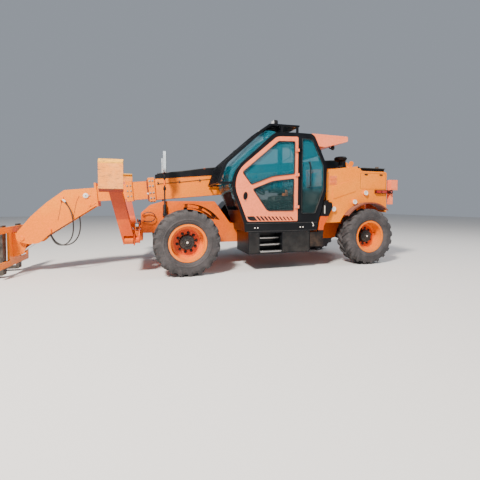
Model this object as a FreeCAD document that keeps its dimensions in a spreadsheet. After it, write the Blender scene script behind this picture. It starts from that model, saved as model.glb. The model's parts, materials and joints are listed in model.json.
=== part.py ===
import FreeCAD, Part
import math
import os
import re
import Sketcher
from FreeCAD import Placement, Rotation, Vector

# Telehandler, millimetres. +Z is up, -X is forwards, -Y is the cab's side (left).
# The origin is on the ground, at the middle of the overall length and width.
# Shapes on the chassis are drawn from the front axle and then moved to it; the boom
# and all that slides in it are drawn from the boom's pivot, level, and then tipped.

sizes = {
    # wheels and axles
    "front_axle_x": -190, "wheelbase": 3720, "tyre_radius": 575, "tyre_width": 400,
    "wheel_y": 1000, "rim_radius": 327, "rim_width": 330, "rim_wall": 14, "disc_inset": 40,
    "bead_radius": 303, "lug_height": 32, "lug_count": 20, "lug_sweep": 16,
    "lug_wide": 54, "hub_radius": 128, "hub_out": 70, "spindle_radius": 55,
    "kingpin_y": 820, "kingpin_radius": 36, "yoke_gap": 232, "yoke_plate": 36,
    "pin_head": 8,
    "axle_tube_radius": 85, "axle_bowl_radius": 170, "running_fit": 0.08, "side_play": 6,
    # frame
    "frame_half": 400, "plate": 20, "nose_x": -776, "nose_low": 703, "nose_high": 1078,
    "deck_high": 1300, "cab_gap_front": 620, "cab_gap_back": 940, "rail_high": 860,
    "belly_low": 480, "axle_gap_high": 735, "tail_overhang": 520,
    "tail_x": "=wheelbase + tail_overhang", "tail_low": 640,
    "pivot_x": 3880, "pivot_z": 1900, "pivot_pin": 50, "tower_radius": 185,
    "lift_base_x": 3200, "lift_base_z": 850, "lift_pin": 38, "lift_lug_gap": 190,
    # stabilisers
    "stab_x": -968, "stab_y": 700, "stab_z": 615, "stab_pin": 40, "beam_width": 145,
    "beam_high": 150, "arm_lean": 11, "arm_out": 19.5, "arm_length": 1140, "arm_width": 195,
    "arm_depth": 130, "ram_x": -838, "ram_base_y": 80, "ram_base_z": 790, "ram_pin": 20,
    "crank_reach": 280, "crank_back": 40, "ram_radius": 42, "ram_rod": 24,
    "foot_wide": 360, "foot_long": 500, "foot_plate": 25, "foot_drop": 110,
    # cab
    "cab_left": -1130, "cab_right": -230, "cab_wall": 45, "cab_floor": 894, "skirt_low": 736,
    "door_thick": 40, "door_seam": 6, "glass": 8, "hinge_x": 2087, "hinge_out": 18,
    "hinge_pin": 7, "hinge_long": 60,
    # hoods, tanks
    "hood_side": 1050, "hood_inner": 440, "hood_wall": 22,
    "hood_front": 2740, "hood_low": 866, "grille_slots": 12, "fender_radius": 700, "fender_plate": 8,
    # boom
    "boom_dip": 5, "boom_high": 400, "boom_wide": 400, "boom_top": 214, "boom_wall": 14,
    "boom_front": -4533, "middle_high": 340, "middle_front": -4945, "middle_back": -420,
    "inner_high": 284, "inner_front": -5487, "inner_back": -800, "collar": 120,
    "slide_fit": 0.5, "lift_arm": -2600, "lift_drop": -330,
    "head_wide": 300, "head_plate": 20, "hose_radius": 11,
    "tilt_base_x": -5600, "tilt_base_z": -180, "tilt_pin": 25,
    # carriage
    "coupler_x": -2760, "coupler_z": 640, "coupler_pin": 35, "tilt_eye_x": -60,
    "tilt_eye_z": -245, "carriage_face": -165, "carriage_wide": 1200, "bar_thick": 35,
    "bar_high": 100, "bar_low_z": 170, "bar_top_z": 750, "fork_spread": 300, "fork_wide": 125,
    "fork_thick": 45, "fork_tip": -4100, "fork_low": 45,
}

doc = FreeCAD.newDocument("telehandler")
sheet = doc.addObject("Spreadsheet::Sheet", "Sizes")
for row, (alias, value) in enumerate(sizes.items(), start=1):
    sheet.set(f"A{row}", alias)
    sheet.set(f"B{row}", str(value))
    sheet.setAlias(f"B{row}", alias)
doc.recompute()

words = re.compile(r"[a-z][a-z_]*[a-z]")
functions = {"sin", "cos", "tan", "sqrt", "atan", "asin", "acos", "abs"}
level = Rotation()
along_x = Rotation(Vector(0, 1, 0), 90)
along_y = Rotation(Vector(1, 0, 0), -90)
kept = {}


def named(expression):
    """Point each alias of an expression to its cell."""
    text = str(expression)
    return words.sub(lambda m: m[0] if m[0] in functions else "Sizes." + m[0], text)


def value(expression):
    result = sheet.evalExpression(named(expression))
    return float(getattr(result, "Value", result))


def bind(thing, what, expression):
    thing.setExpression(what, named(expression))


def place(thing, x="0", y="0", z="0", turn=level):
    thing.Placement = Placement(Vector(value(x), value(y), value(z)), turn)
    for axis, expression in zip("xyz", (x, y, z)):
        bind(thing, "Placement.Base." + axis, expression)
    return thing


def keep(node, thing):
    """Name a finished sub-part after its file."""
    thing.Label = node
    kept[node] = thing
    return thing


def on_chassis(node, thing):
    return keep(node, place(thing, x="front_axle_x"))


def tipped(thing, x, z, dip):
    """Stand a level piece on a point and turn its front (-X) down by an angle."""
    place(thing, x=x, z=z, turn=Rotation(Vector(0, -1, 0), value(dip)))
    bind(thing, "Placement.Rotation.Angle", dip)
    return thing


def on_boom(node, thing):
    return keep(node, tipped(thing, "front_axle_x + pivot_x", "pivot_z", "boom_dip"))


def box(x0, x1, y0, y1, z0, z1, name="Block"):
    """Block between two corners, each side an expression."""
    block = doc.addObject("Part::Box", name)
    for side, low, high in (("Length", x0, x1), ("Width", y0, y1), ("Height", z0, z1)):
        bind(block, side, f"({high}) - ({low})")
    return place(block, x0, y0, z0)


def rod(axis, x, y, z, radius, length, name="Rod"):
    """Cylinder that starts at a point and runs along +X, +Y or +Z."""
    solid = doc.addObject("Part::Cylinder", name)
    bind(solid, "Radius", radius)
    bind(solid, "Height", length)
    return place(solid, x, y, z, {"x": along_x, "y": along_y, "z": level}[axis])


def fuse(pieces, name="Joined"):
    joined = doc.addObject("Part::MultiFuse", name)
    joined.Shapes = pieces
    return joined


def cut(base, tools, name="Cut"):
    """Take one or more tools out of a base."""
    tool = tools[0] if len(tools) == 1 else fuse(tools, "Tools")
    taken = doc.addObject("Part::Cut", name)
    taken.Base = base
    taken.Tool = tool
    return taken


def group(pieces, name="Group"):
    """Like pieces on one body that don't touch, as one node."""
    together = doc.addObject("Part::Compound", name)
    together.Links = pieces
    return together


def mirror_y(thing, name="Mirrored"):
    """The same piece on the other side of the middle plane."""
    twin = doc.addObject("Part::Mirroring", name)
    twin.Source = thing
    twin.Normal = Vector(0, 1, 0)
    return twin


def corners_of(outline):
    """Corner table rows are (across, up) or (across, up, radius)."""
    rows = []
    for corner in outline:
        across, up = corner[0], corner[1]
        radius = corner[2] if len(corner) > 2 else None
        rows.append((across, up, radius, Vector(value(across), value(up), 0)))
    return rows


def draw(body, role, outline, offset="0", name="Outline"):
    """Sketch a closed outline of straight runs whose corners may be rounded."""
    sketch = body.newObject("Sketcher::SketchObject", name)
    plane = [p for p in body.Origin.OriginFeatures if p.Role == role][0]
    sketch.AttachmentSupport = [(plane, "")]
    sketch.MapMode = "FlatFace"
    sketch.AttachmentOffset = Placement(Vector(0, 0, value(offset)), Rotation())
    bind(sketch, "AttachmentOffset.Base.z", offset)
    rows = corners_of(outline)
    count = len(rows)
    spots = [row[3] for row in rows]
    ends = []
    for k, (across, up, radius, spot) in enumerate(rows):
        before = (spots[k - 1] - spot).normalize()
        after = (spots[(k + 1) % count] - spot).normalize()
        if radius is None:
            ends.append((spot, spot, None))
            continue
        half = before.getAngle(after) / 2
        reach = value(radius) / math.tan(half)
        middle = (before + after).normalize() * (value(radius) / math.sin(half))
        ends.append((spot + before * reach, spot + after * reach, spot + middle))
    lines = []
    for k in range(count):
        lines.append(sketch.addGeometry(Part.LineSegment(ends[k][1], ends[(k + 1) % count][0]), False))
    for k, (across, up, radius, spot) in enumerate(rows):
        last, this = lines[k - 1], lines[k]
        if radius is None:
            sketch.addConstraint(Sketcher.Constraint("Coincident", last, 2, this, 1))
            corner, end = this, 1
        else:
            start, stop, centre = ends[k]
            turn = (spots[k] - spots[k - 1]).cross(spots[(k + 1) % count] - spots[k]).z
            first, second = (start, stop) if turn > 0 else (stop, start)
            circle = Part.Circle(centre, Vector(0, 0, 1), value(radius))
            low = math.atan2(first.y - centre.y, first.x - centre.x)
            high = math.atan2(second.y - centre.y, second.x - centre.x)
            arc = sketch.addGeometry(Part.ArcOfCircle(circle, low, high), False)
            near, far = (1, 2) if turn > 0 else (2, 1)
            sketch.addConstraint(Sketcher.Constraint("Tangent", last, 2, arc, near))
            sketch.addConstraint(Sketcher.Constraint("Tangent", arc, far, this, 1))
            size = sketch.addConstraint(Sketcher.Constraint("Radius", arc, value(radius)))
            bind(sketch, f"Constraints[{size}]", radius)
            corner = sketch.addGeometry(Part.Point(spot), True)
            end = 1
            sketch.addConstraint(Sketcher.Constraint("PointOnObject", corner, 1, last))
            sketch.addConstraint(Sketcher.Constraint("PointOnObject", corner, 1, this))
        for kind, expression, number in (("DistanceX", across, spot.x), ("DistanceY", up, spot.y)):
            held = sketch.addConstraint(Sketcher.Constraint(kind, corner, end, number))
            bind(sketch, f"Constraints[{held}]", expression)
    return sketch


def slab(role, outline, low, high, name="Body"):
    """Body with one pad between two distances along the plane's axis (Y, X or Z)."""
    body = doc.addObject("PartDesign::Body", name)
    start = f"0 - ({high})" if role == "XZ_Plane" else low
    sketch = draw(body, role, outline, start)
    pad = body.newObject("PartDesign::Pad", "Pad")
    pad.Profile = sketch
    pad.Length = value(f"({high}) - ({low})")
    bind(pad, "Length", f"({high}) - ({low})")
    body.Tip = pad
    sketch.Visibility = False
    return body


def side(outline, low, high, name="Side"):
    return slab("XZ_Plane", outline, low, high, name)


def across(outline, low, high, name="Across"):
    return slab("YZ_Plane", outline, low, high, name)


def plan(outline, low, high, name="Plan"):
    return slab("XY_Plane", outline, low, high, name)


def turned(role, outline, name="Turned", angle="360"):
    """Body turned about the sketch's flat axis: Y in the YZ plane, X in the XZ plane."""
    body = doc.addObject("PartDesign::Body", name)
    sketch = draw(body, role, outline)
    spun = body.newObject("PartDesign::Revolution", "Revolution")
    spun.Profile = sketch
    spun.ReferenceAxis = (sketch, ["H_Axis"])
    spun.Angle = value(angle)
    body.Tip = spun
    return body


def both(thing):
    """A piece and its mirror image."""
    return [thing, mirror_y(thing)]


def make_frame():
    plate_rows = [
        ("nose_x", "nose_low", "40"), ("nose_x", "nose_high", "60"),
        ("nose_x + 160", "nose_high + 147", "120"), ("nose_x + 413", "deck_high", "150"),
        ("cab_gap_front", "deck_high", "60"), ("cab_gap_back", "rail_high", "60"),
        ("lift_base_x - 450", "rail_high", "80"), ("lift_base_x - 150", "deck_high", "120"),
        ("pivot_x - 480", "deck_high", "150"),
        ("pivot_x - tower_radius", "pivot_z + tower_radius", "150"),
        ("pivot_x + tower_radius", "pivot_z + tower_radius", "150"),
        ("pivot_x + tower_radius + 60", "pivot_z - 400", "100"),
        ("tail_x", "deck_high - 60", "60"), ("tail_x", "tail_low", "40"),
        ("wheelbase + 280", "tail_low", "30"), ("wheelbase + 220", "axle_gap_high", "30"),
        ("wheelbase - 220", "axle_gap_high", "30"), ("wheelbase - 320", "belly_low", "60"),
        ("320", "belly_low", "60"), ("220", "axle_gap_high", "30"),
        ("0 - 220", "axle_gap_high", "30"), ("0 - 250", "nose_low", "15"),
    ]
    inner = "frame_half - plate"
    plates = both(side(plate_rows, inner, "frame_half", "FramePlate"))
    # floors and bulkheads between the plates: (x from, x to, z from, z to)
    crossings = [
        ("nose_x", "nose_x + plate", "nose_low", "nose_high"),
        ("nose_x", "0 - 260", "nose_low", "nose_low + plate"),
        ("0 - 200", "200", "axle_gap_high", "axle_gap_high + plate"),
        ("340", "wheelbase - 340", "belly_low", "belly_low + plate"),
        ("420", "420 + plate", "belly_low", "rail_high"),
        ("wheelbase - 440", "wheelbase - 440 + plate", "belly_low", "axle_gap_high + 60"),
        ("wheelbase - 200", "wheelbase + 200", "axle_gap_high", "axle_gap_high + plate"),
        ("wheelbase + 290", "tail_x", "tail_low", "tail_low + plate"),
        ("tail_x - plate", "tail_x", "tail_low", "deck_high - 130"),
    ]
    pieces = plates
    for x0, x1, z0, z1 in crossings:
        pieces.append(box(x0, x1, f"0 - ({inner})", inner, z0, z1, "Crossing"))
    # boom pivot
    pieces.append(rod("y", "pivot_x", "0 - frame_half - 26", "pivot_z", "pivot_pin", "2 * frame_half + 52"))
    boss = rod("y", "pivot_x", "frame_half", "pivot_z", "pivot_pin * 2.4", "26")
    pieces += both(boss)
    # foot of the lift cylinder
    half = "lift_lug_gap / 2"
    lug_rows = [
        ("lift_base_x - 150", "belly_low + plate - 2"), ("lift_base_x + 150", "belly_low + plate - 2"),
        ("lift_base_x + 80", "lift_base_z + 80", "70"), ("lift_base_x - 80", "lift_base_z + 80", "70"),
    ]
    pieces += both(side(lug_rows, half, f"{half} + 25", "LiftFoot"))
    pieces.append(rod("y", "lift_base_x", f"0 - {half} - 40", "lift_base_z", "lift_pin", f"2 * ({half} + 40)"))
    # stabiliser beam, its ends, pivot pins and the rams' inner lugs
    reach = "beam_width / 2"
    pieces.append(box(f"stab_x - {reach}", f"stab_x + {reach}", "0 - stab_y", "stab_y",
                      "stab_z - beam_high / 2", "stab_z + beam_high / 2", "Beam"))
    pieces.append(box(f"stab_x + {reach} - 5", "nose_x + plate", "0 - 210", "210",
                      "stab_z - beam_high / 2", "nose_low + plate", "Neck"))
    for hand in ("0 - stab_y", "stab_y"):
        pieces.append(rod("x", f"stab_x - {reach}", hand, "stab_z", "beam_high / 2", "beam_width"))
        pieces.append(rod("x", "stab_x - arm_width / 2", hand, "stab_z", "stab_pin", "arm_width + 85"))
    lug_rows = [
        ("0 - ram_base_y - 70", "nose_low + plate - 3"), ("ram_base_y + 70", "nose_low + plate - 3"),
        ("ram_base_y + 35", "ram_base_z + 45", "35"), ("0 - ram_base_y - 35", "ram_base_z + 45", "35"),
    ]
    pieces.append(across(lug_rows, "ram_x - ram_radius - 22", "ram_x - ram_radius - 4", "RamLug"))
    pieces.append(across(lug_rows, "ram_x + ram_radius + 4", "nose_x + 1", "RamLug"))
    for hand in ("0 - ram_base_y", "ram_base_y"):
        pieces.append(rod("x", "ram_x - ram_radius - 22", hand, "ram_base_z", "ram_pin", "ram_radius * 2 + 30"))
    # towing jaw
    jaw_rows = [("tail_x - 1", "tail_low + 20"), ("tail_x + 34", "tail_low + 20", "16"),
                ("tail_x + 34", "tail_low + 170", "16"), ("tail_x - 1", "tail_low + 170")]
    pieces += both(side(jaw_rows, "45", "63", "Jaw"))
    pieces.append(rod("z", "tail_x + 18", "0", "tail_low + 75", "11", "40", "JawPin"))
    for z0 in ("tail_low + 60", "tail_low + 112"):
        pieces.append(box("tail_x - 1", "tail_x + 34", "0 - 46", "46", z0, f"{z0} + 18", "JawPlate"))
    # fittings that the stabilisers' hoses come out of
    for z0 in ("1045", "913"):
        pieces += both(box("0 - 762", "0 - 728", "frame_half - 1", "frame_half + 46", z0, f"{z0} + 34", "HoseFoot"))
    # shelves under the two hoods
    shelf = box("hood_front + hood_wall + 20", "tail_x - hood_wall - 30", f"{inner} + 5",
                "hood_side - hood_wall", "deck_high", "deck_high + 15", "Shelf")
    pieces += both(shelf)
    return on_chassis("chassis_frame", fuse(pieces))


def make_axle(node, station):
    tube = turned("YZ_Plane", [
        ("0 - kingpin_y + 110", "0"), ("0 - kingpin_y + 110", "axle_tube_radius"),
        ("0 - 260", "axle_tube_radius"), ("0 - 120", "axle_bowl_radius - 20"),
        ("0 - 60", "axle_bowl_radius - 40"), ("60", "axle_bowl_radius - 40"),
        ("120", "axle_bowl_radius - 20"), ("260", "axle_tube_radius"),
        ("kingpin_y - 110", "axle_tube_radius"), ("kingpin_y - 110", "0"),
    ], "AxleTube")
    bowl = rod("x", "0 - 150", "0", "0", "axle_bowl_radius - 35", "300", "Bowl")
    saddle = box("0 - 110", "110", "0 - 130", "130", "0", "axle_gap_high - tyre_radius", "Saddle")
    half = "yoke_gap / 2"
    yokes = []
    back = box("0 - 75", "75", "kingpin_y - 130", "kingpin_y - 100", f"0 - {half} - yoke_plate",
               f"{half} + yoke_plate", "YokeBack")
    yokes += both(back)
    arm_rows = [("0 - 75", "kingpin_y - 130"), ("75", "kingpin_y - 130"),
                ("60", "kingpin_y + 58", "50"), ("0 - 60", "kingpin_y + 58", "50")]
    for z0 in (half, f"0 - {half} - yoke_plate"):
        yokes += both(plan(arm_rows, z0, f"{z0} + yoke_plate", "YokeArm"))
    bores = []
    for hand in ("kingpin_y", "0 - kingpin_y"):
        bores.append(rod("z", "0", hand, f"0 - {half} - yoke_plate - 5", "kingpin_radius + running_fit",
                         f"2 * ({half} + yoke_plate + 5)"))
    axle = cut(fuse([tube, bowl, saddle] + yokes), bores)
    return keep(node, place(axle, x=f"front_axle_x + {station}", z="tyre_radius"))


def make_knuckle(node, station, hand):
    """Drawn at the kingpin's middle with +Y outwards."""
    half = "yoke_gap / 2"
    housing = turned("YZ_Plane", [
        ("0 - 52", "0"), ("0 - 52", f"{half} - 30"), ("0 - 30", f"{half} - 8"),
        ("60", f"{half} - 8"), ("wheel_y - kingpin_y - disc_inset - 62", f"{half} - 24"),
        ("wheel_y - kingpin_y - disc_inset - 62", "spindle_radius"),
        ("wheel_y - kingpin_y", "spindle_radius"), ("wheel_y - kingpin_y", "0"),
    ], "Housing")
    pin = rod("z", "0", "0", f"0 - {half} - yoke_plate", "kingpin_radius", f"2 * ({half} + yoke_plate) + pin_head")
    upright = fuse([housing, pin])
    if hand < 0:
        upright = mirror_y(upright)
    upright = place(group([upright]), x=f"front_axle_x + {station}",
                    y="kingpin_y" if hand > 0 else "0 - kingpin_y", z="tyre_radius")
    return keep(node, upright)


def make_rim(node, station, hand):
    half = "rim_width / 2"
    lip = "rim_wall"
    well = "bead_radius - rim_wall"
    inboard = "0 - disc_inset - 56"
    rows = [
        (inboard, "spindle_radius + running_fit"), (inboard, "hub_radius"),
        ("0 - disc_inset", "hub_radius"), ("0 - disc_inset", "hub_radius + 75"),
        ("0 - disc_inset - 22", "hub_radius + 95"), ("0 - disc_inset - 22", well),
        (f"0 - {half}", well), (f"0 - {half}", "rim_radius"),
        (f"0 - {half} + {lip}", "rim_radius"), (f"0 - {half} + {lip}", "bead_radius"),
        (f"{half} - {lip}", "bead_radius"), (f"{half} - {lip}", "rim_radius"),
        (half, "rim_radius"), (half, well), (f"{half} - 60", well),
        ("0 - disc_inset + 16", f"{well} - 16"), ("0 - disc_inset + 16", "hub_radius"),
        ("hub_out - 18", "hub_radius - 8"), ("hub_out - 18", "hub_radius - 60"),
        ("hub_out", "hub_radius - 66"), ("hub_out", "0"), ("5", "0"),
        ("5", "spindle_radius + running_fit"),
    ]
    rim = turned("YZ_Plane", rows, "Rim")
    return wheel_piece(node, rim, station, hand)


def tyre_corners(turn):
    """Corners of one lug and of the carcass under it, as (low, high) pairs by name."""
    crown = value("tyre_radius")
    root = crown - value("lug_height")
    half = value("tyre_width / 2")
    bead = value("rim_width / 2 - rim_wall") - 0.3
    wide = math.degrees(value("lug_wide / tyre_radius"))
    pitch = 360 / value("lug_count")
    sweep = value("lug_sweep")
    # a ring of flats stands clear of the rim where it is a little larger than the circle
    clear = 1 / math.cos(math.radians(pitch / 2 - wide / 2 * 0.75))
    # name, distance from the middle, radius, share of the sweep, width as a share
    rows = [
        ("foot", 0, root, 0, 1.2), ("top", 3, crown, 0, 0.95), ("edge", half - 42, crown, 0.82, 1.2),
        ("shoulder", half - 16, crown - 36, 0.94, 1.25), ("root", half - 60, root - 2, 0.74, 1.5),
        ("wall", half - 2, crown - 78, 1, 1.45), ("bulge", half, value("rim_radius") + 85, 1, 1.45),
        ("flange", bead, (value("rim_radius") + 0.3) * clear, 1, 1.45),
        ("bead", bead, (value("bead_radius") + 0.3) * clear, 1, 1.45),
    ]
    corners = {}
    for name, out, radius, share, width in rows:
        for end, way in (("low", -0.5), ("high", 0.5)):
            angle = math.radians(turn - sweep * share + wide * width * way)
            corners[name, end] = Vector(-radius * math.sin(angle), out, radius * math.cos(angle))
    return corners


def strip(first, second):
    """Triangles between two rows of corners, as many in each."""
    pairs = list(zip(first, second))
    flats = []
    for (a, b), (c, d) in zip(pairs, pairs[1:]):
        flats += [(a, c, b), (c, d, b)]
    return flats


def lug_flats(this, after, gap):
    """Flats of one half of the tyre from one lug to the next; gap is the other half's lug."""
    flats = []
    ridge = ["foot", "top", "edge", "shoulder", "wall"]
    flats += strip([this[name, "low"] for name in ridge], [this[name, "high"] for name in ridge])
    for end in ("low", "high"):
        fan = [this[name, end] for name in ridge]
        flats += [(this["root", end], a, b) for a, b in zip(fan, fan[1:])]
    high, low = this["root", "high"], after["root", "low"]
    middle = [this["foot", "high"], gap["foot", "low"], gap["foot", "high"], after["foot", "low"]]
    flats += [(high, a, b) for a, b in zip(middle[:3], middle[1:3])]
    flats += [(high, middle[2], low), (low, middle[2], middle[3])]
    rings = ["wall", "bulge", "flange", "bead"]
    flats += strip([high, this["wall", "high"]], [low, after["wall", "low"]])
    for a, b, c, d in ((this, "low", this, "high"), (this, "high", after, "low")):
        flats += strip([a[name, b] for name in rings], [c[name, d] for name in rings])
    return flats


def tyre_shape():
    """Flat facets, because round ones with lugs take several times as many triangles."""
    count = int(value("lug_count"))
    pitch = 360 / count
    flats = []
    for k in range(count):
        turns = [k * pitch, (k + 0.5) * pitch, (k + 1) * pitch, (k + 1.5) * pitch]
        a, b, c, d = [tyre_corners(turn) for turn in turns]
        twins = [{key: Vector(p.x, -p.y, p.z) for key, p in corner.items()} for corner in (b, d)]
        flats += lug_flats(a, c, b)
        flats += lug_flats(twins[0], twins[1], c)
        beads = [a["bead", "low"], a["bead", "high"], c["bead", "low"]]
        others = [twins[0]["bead", "low"], twins[0]["bead", "high"], twins[1]["bead", "low"]]
        flats += strip(beads, others)
    faces = [Part.Face(Part.makePolygon([p, q, r, p])) for p, q, r in flats]
    shell = Part.Shell(faces)
    shell.sewShape()
    solid = Part.Solid(shell)
    if solid.Volume < 0:
        solid.reverse()
    return solid


def make_tyre(node, station, hand):
    tyre = doc.addObject("Part::Feature", "Tyre")
    tyre.Shape = tyre_shape()
    return wheel_piece(node, tyre, station, hand)


def wheel_piece(node, piece, station, hand):
    if hand < 0:
        piece = group([mirror_y(piece)])
    piece = place(piece, x=f"front_axle_x + {station}", y="wheel_y" if hand > 0 else "0 - wheel_y",
                  z="tyre_radius")
    return keep(node, piece)


def arc_plate(radius, thick, y0, y1, start, sweep, name="ArcPlate"):
    """Plate bent round the wheel's axis: angles from straight up, + to the rear."""
    body = turned("YZ_Plane", [(y0, radius), (y1, radius), (y1, f"{radius} + {thick}"),
                               (y0, f"{radius} + {thick}")], name, sweep)
    body.Placement = Placement(Vector(0, 0, 0), Rotation(Vector(0, 1, 0), float(start)))
    return body


def make_front_fender(node, hand):
    """Stands on the knuckle's upper kingpin and turns with the wheel."""
    y0, y1 = "kingpin_y - 30", "wheel_y + tyre_width / 2 - 20"
    top = arc_plate("665", "6", y0, y1, "-4", "58", "FenderTop")
    strap = arc_plate("600", "6", y0, y1, "-2", "50", "FenderStrap")
    posts = []
    for turn in (-1, 22, 46):
        post = box("0 - 4", "4", y0, y1, "602", "668", "Post")
        post = place(group([post]), "0", "0", "0", Rotation(Vector(0, 1, 0), turn))
        posts.append(post)
    stalk = box("0 - 30", "30", "kingpin_y - 62", "kingpin_y - 28", "yoke_gap / 2 + yoke_plate + pin_head",
                "606", "Stalk")
    sole = box("0 - 40", "40", "kingpin_y - 62", "kingpin_y + 40", "yoke_gap / 2 + yoke_plate + pin_head",
               "yoke_gap / 2 + yoke_plate + pin_head + 12", "Sole")
    fender = fuse([top, strap, stalk, sole] + posts)
    if hand < 0:
        fender = group([mirror_y(fender)])
    return keep(node, place(fender, x="front_axle_x", z="tyre_radius"))


def make_rear_fenders():
    y0, y1 = "hood_side - 150", "wheel_y + tyre_width / 2 - 20"
    top = arc_plate("fender_radius", "fender_plate", y0, y1, "-51", "90", "FenderTop")
    skirt = arc_plate("fender_radius - 22", "22.5", f"{y1} - 6", y1, "-51", "90", "FenderEdge")
    fender = fuse([top, skirt])
    return keep("rear_fenders", place(group(both(fender)), x="front_axle_x + wheelbase", z="tyre_radius"))


def make_stabiliser(hand):
    """Arm drawn upright at its pivot, +Y inwards, then leant outwards."""
    name = "right" if hand > 0 else "left"
    lean = "tan(arm_lean)"
    half = "arm_width / 2"
    arm = side([
        (f"0 - {half} + 90 * {lean}", "0 - 90", "45"), (f"{half} + 90 * {lean}", "0 - 90", "45"),
        (f"{half} - (arm_length + 45) * {lean}", "arm_length + 45", "20"),
        (f"0 - {half} - (arm_length + 45) * {lean}", "arm_length + 45", "20"),
    ], "0 - arm_depth / 2", "arm_depth / 2", "Arm")
    slot = "(beam_width / 2 + 6)"
    gap = box(f"0 - {slot}", slot, "0 - arm_depth", "arm_depth", "0 - 120", "beam_high / 2 + 30", "Gap")
    eye_y = "crank_reach * sin(crank_back)"
    eye_z = "crank_reach * cos(crank_back)"
    crank_rows = [
        ("0 - 60", "0 - 60", "55"), ("70", "0 - 60", "55"), (f"{eye_y} + 52", f"{eye_z} - 25", "40"),
        (f"{eye_y} + 30", f"{eye_z} + 50", "35"), (f"{eye_y} - 50", f"{eye_z} + 42", "35"),
        ("0 - 60", "90", "50"),
    ]
    eye_x = "ram_x - stab_x"
    inner = across(crank_rows, f"{eye_x} - 53", f"{eye_x} - 33", "Crank")
    outer = across(crank_rows, f"{eye_x} + 33", f"{eye_x} + 53", "Crank")
    tube = rod("x", f"{eye_x} - 40", "0", "0", "stab_pin + 18", "80", "Tube")
    bore = rod("x", "0 - arm_width", "0", "0", "stab_pin + running_fit", "3 * arm_width", "Bore")
    foot_pin = rod("x", f"0 - arm_length * {lean} - {half} - 52", "0", "arm_length", "30", "arm_width + 104", "FootPin")
    body = fuse([cut(fuse([cut(arm, [gap]), inner, outer, tube]), [bore]), foot_pin])
    turn = Rotation(Vector(1, 0, 0), value("arm_out"))
    body = place(group([body]), turn=turn)
    bind(body, "Placement.Rotation.Angle", "arm_out")
    foot_y = "0 - arm_length * sin(arm_out)"
    foot_z = "arm_length * cos(arm_out)"
    half_long = "foot_long / 2"
    plate_rows = [
        ("0 - foot_drop", f"0 - {half_long} + 40"), ("0 - foot_drop", f"{half_long} - 40"),
        ("0 - foot_drop + 50", f"{half_long} + 10"), ("0 - foot_drop + 65", f"{half_long} - 6"),
        ("0 - foot_drop + foot_plate", f"{half_long} - 50"),
        ("0 - foot_drop + foot_plate", f"0 - {half_long} + 50"),
        ("0 - foot_drop + 65", f"0 - {half_long} + 6"), ("0 - foot_drop + 50", f"0 - {half_long} - 10"),
    ]
    sole = across(plate_rows, "0 - foot_wide / 2", "foot_wide / 2", "Sole")
    lug_rows = [("0 - foot_drop + foot_plate - 2", "0 - 110"), ("0 - foot_drop + foot_plate - 2", "110"),
                ("42", "38", "38"), ("42", "0 - 38", "38")]
    lugs = []
    for low, high in ((f"{half} + 30", f"{half} + 48"), (f"0 - {half} - 48", f"0 - {half} - 30")):
        lugs.append(across(lug_rows, low, high, "FootLug"))
    foot_bore = rod("x", "0 - foot_wide", "0", "0", "30 + running_fit", "2 * foot_wide", "Bore")
    foot = cut(fuse([sole] + lugs), [foot_bore])
    foot = place(group([foot]), f"0 - arm_length * {lean}", foot_y, foot_z)
    out = [("stabiliser_arm_", body), ("stabiliser_foot_", foot)]
    for prefix, piece in out:
        if hand > 0:
            piece = mirror_y(group([piece]))
        piece = place(group([piece]), "front_axle_x + stab_x", "stab_y" if hand > 0 else "0 - stab_y",
                      "stab_z")
        keep(prefix + name, piece)
    make_ram(name, hand)


def make_ram(name, hand):
    """Stabiliser ram: drawn along +Y from the pin by the middle to the crank's eye."""
    rise = "stab_z + crank_reach * cos(arm_out - crank_back) - ram_base_z"
    run = "stab_y + crank_reach * sin(arm_out - crank_back) - ram_base_y"
    length = f"sqrt(({rise}) ^ 2 + ({run}) ^ 2)"
    barrel = turned("YZ_Plane", [
        ("ram_radius - 10", "ram_rod + running_fit"), ("ram_radius - 10", "ram_radius"),
        (f"{length} - 75", "ram_radius"), (f"{length} - 75", "ram_rod + running_fit"),
    ], "RamBarrel")
    cap = rod("x", "4 - ram_radius", "0", "0", "ram_radius - 6", "2 * ram_radius - 8", "RamCap")
    bore = rod("x", "0 - 60", "0", "0", "ram_pin + running_fit", "120", "Bore")
    barrel = cut(fuse([barrel, cap]), [bore])
    shaft = rod("y", "0", "ram_radius + 4", "0", "ram_rod", f"{length} - ram_radius - 30", "RamRod")
    eye = rod("x", "0 - 25", "0", "0", "38", "50", "RamEye")
    eye = place(eye, "0 - 25", length, "0", along_x)
    for prefix, piece in (("stabiliser_barrel_", barrel), ("stabiliser_rod_", fuse([shaft, eye]))):
        turn = Rotation(Vector(1, 0, 0), value(f"atan(({rise}) / ({run}))"))
        piece = place(group([piece]), turn=turn)
        bind(piece, "Placement.Rotation.Angle", f"atan(({rise}) / ({run}))")
        if hand < 0:
            piece = mirror_y(piece)
        piece = place(group([piece]), "front_axle_x + ram_x", "ram_base_y" if hand > 0 else "0 - ram_base_y",
                      "ram_base_z")
        keep(prefix + name, piece)


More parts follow.
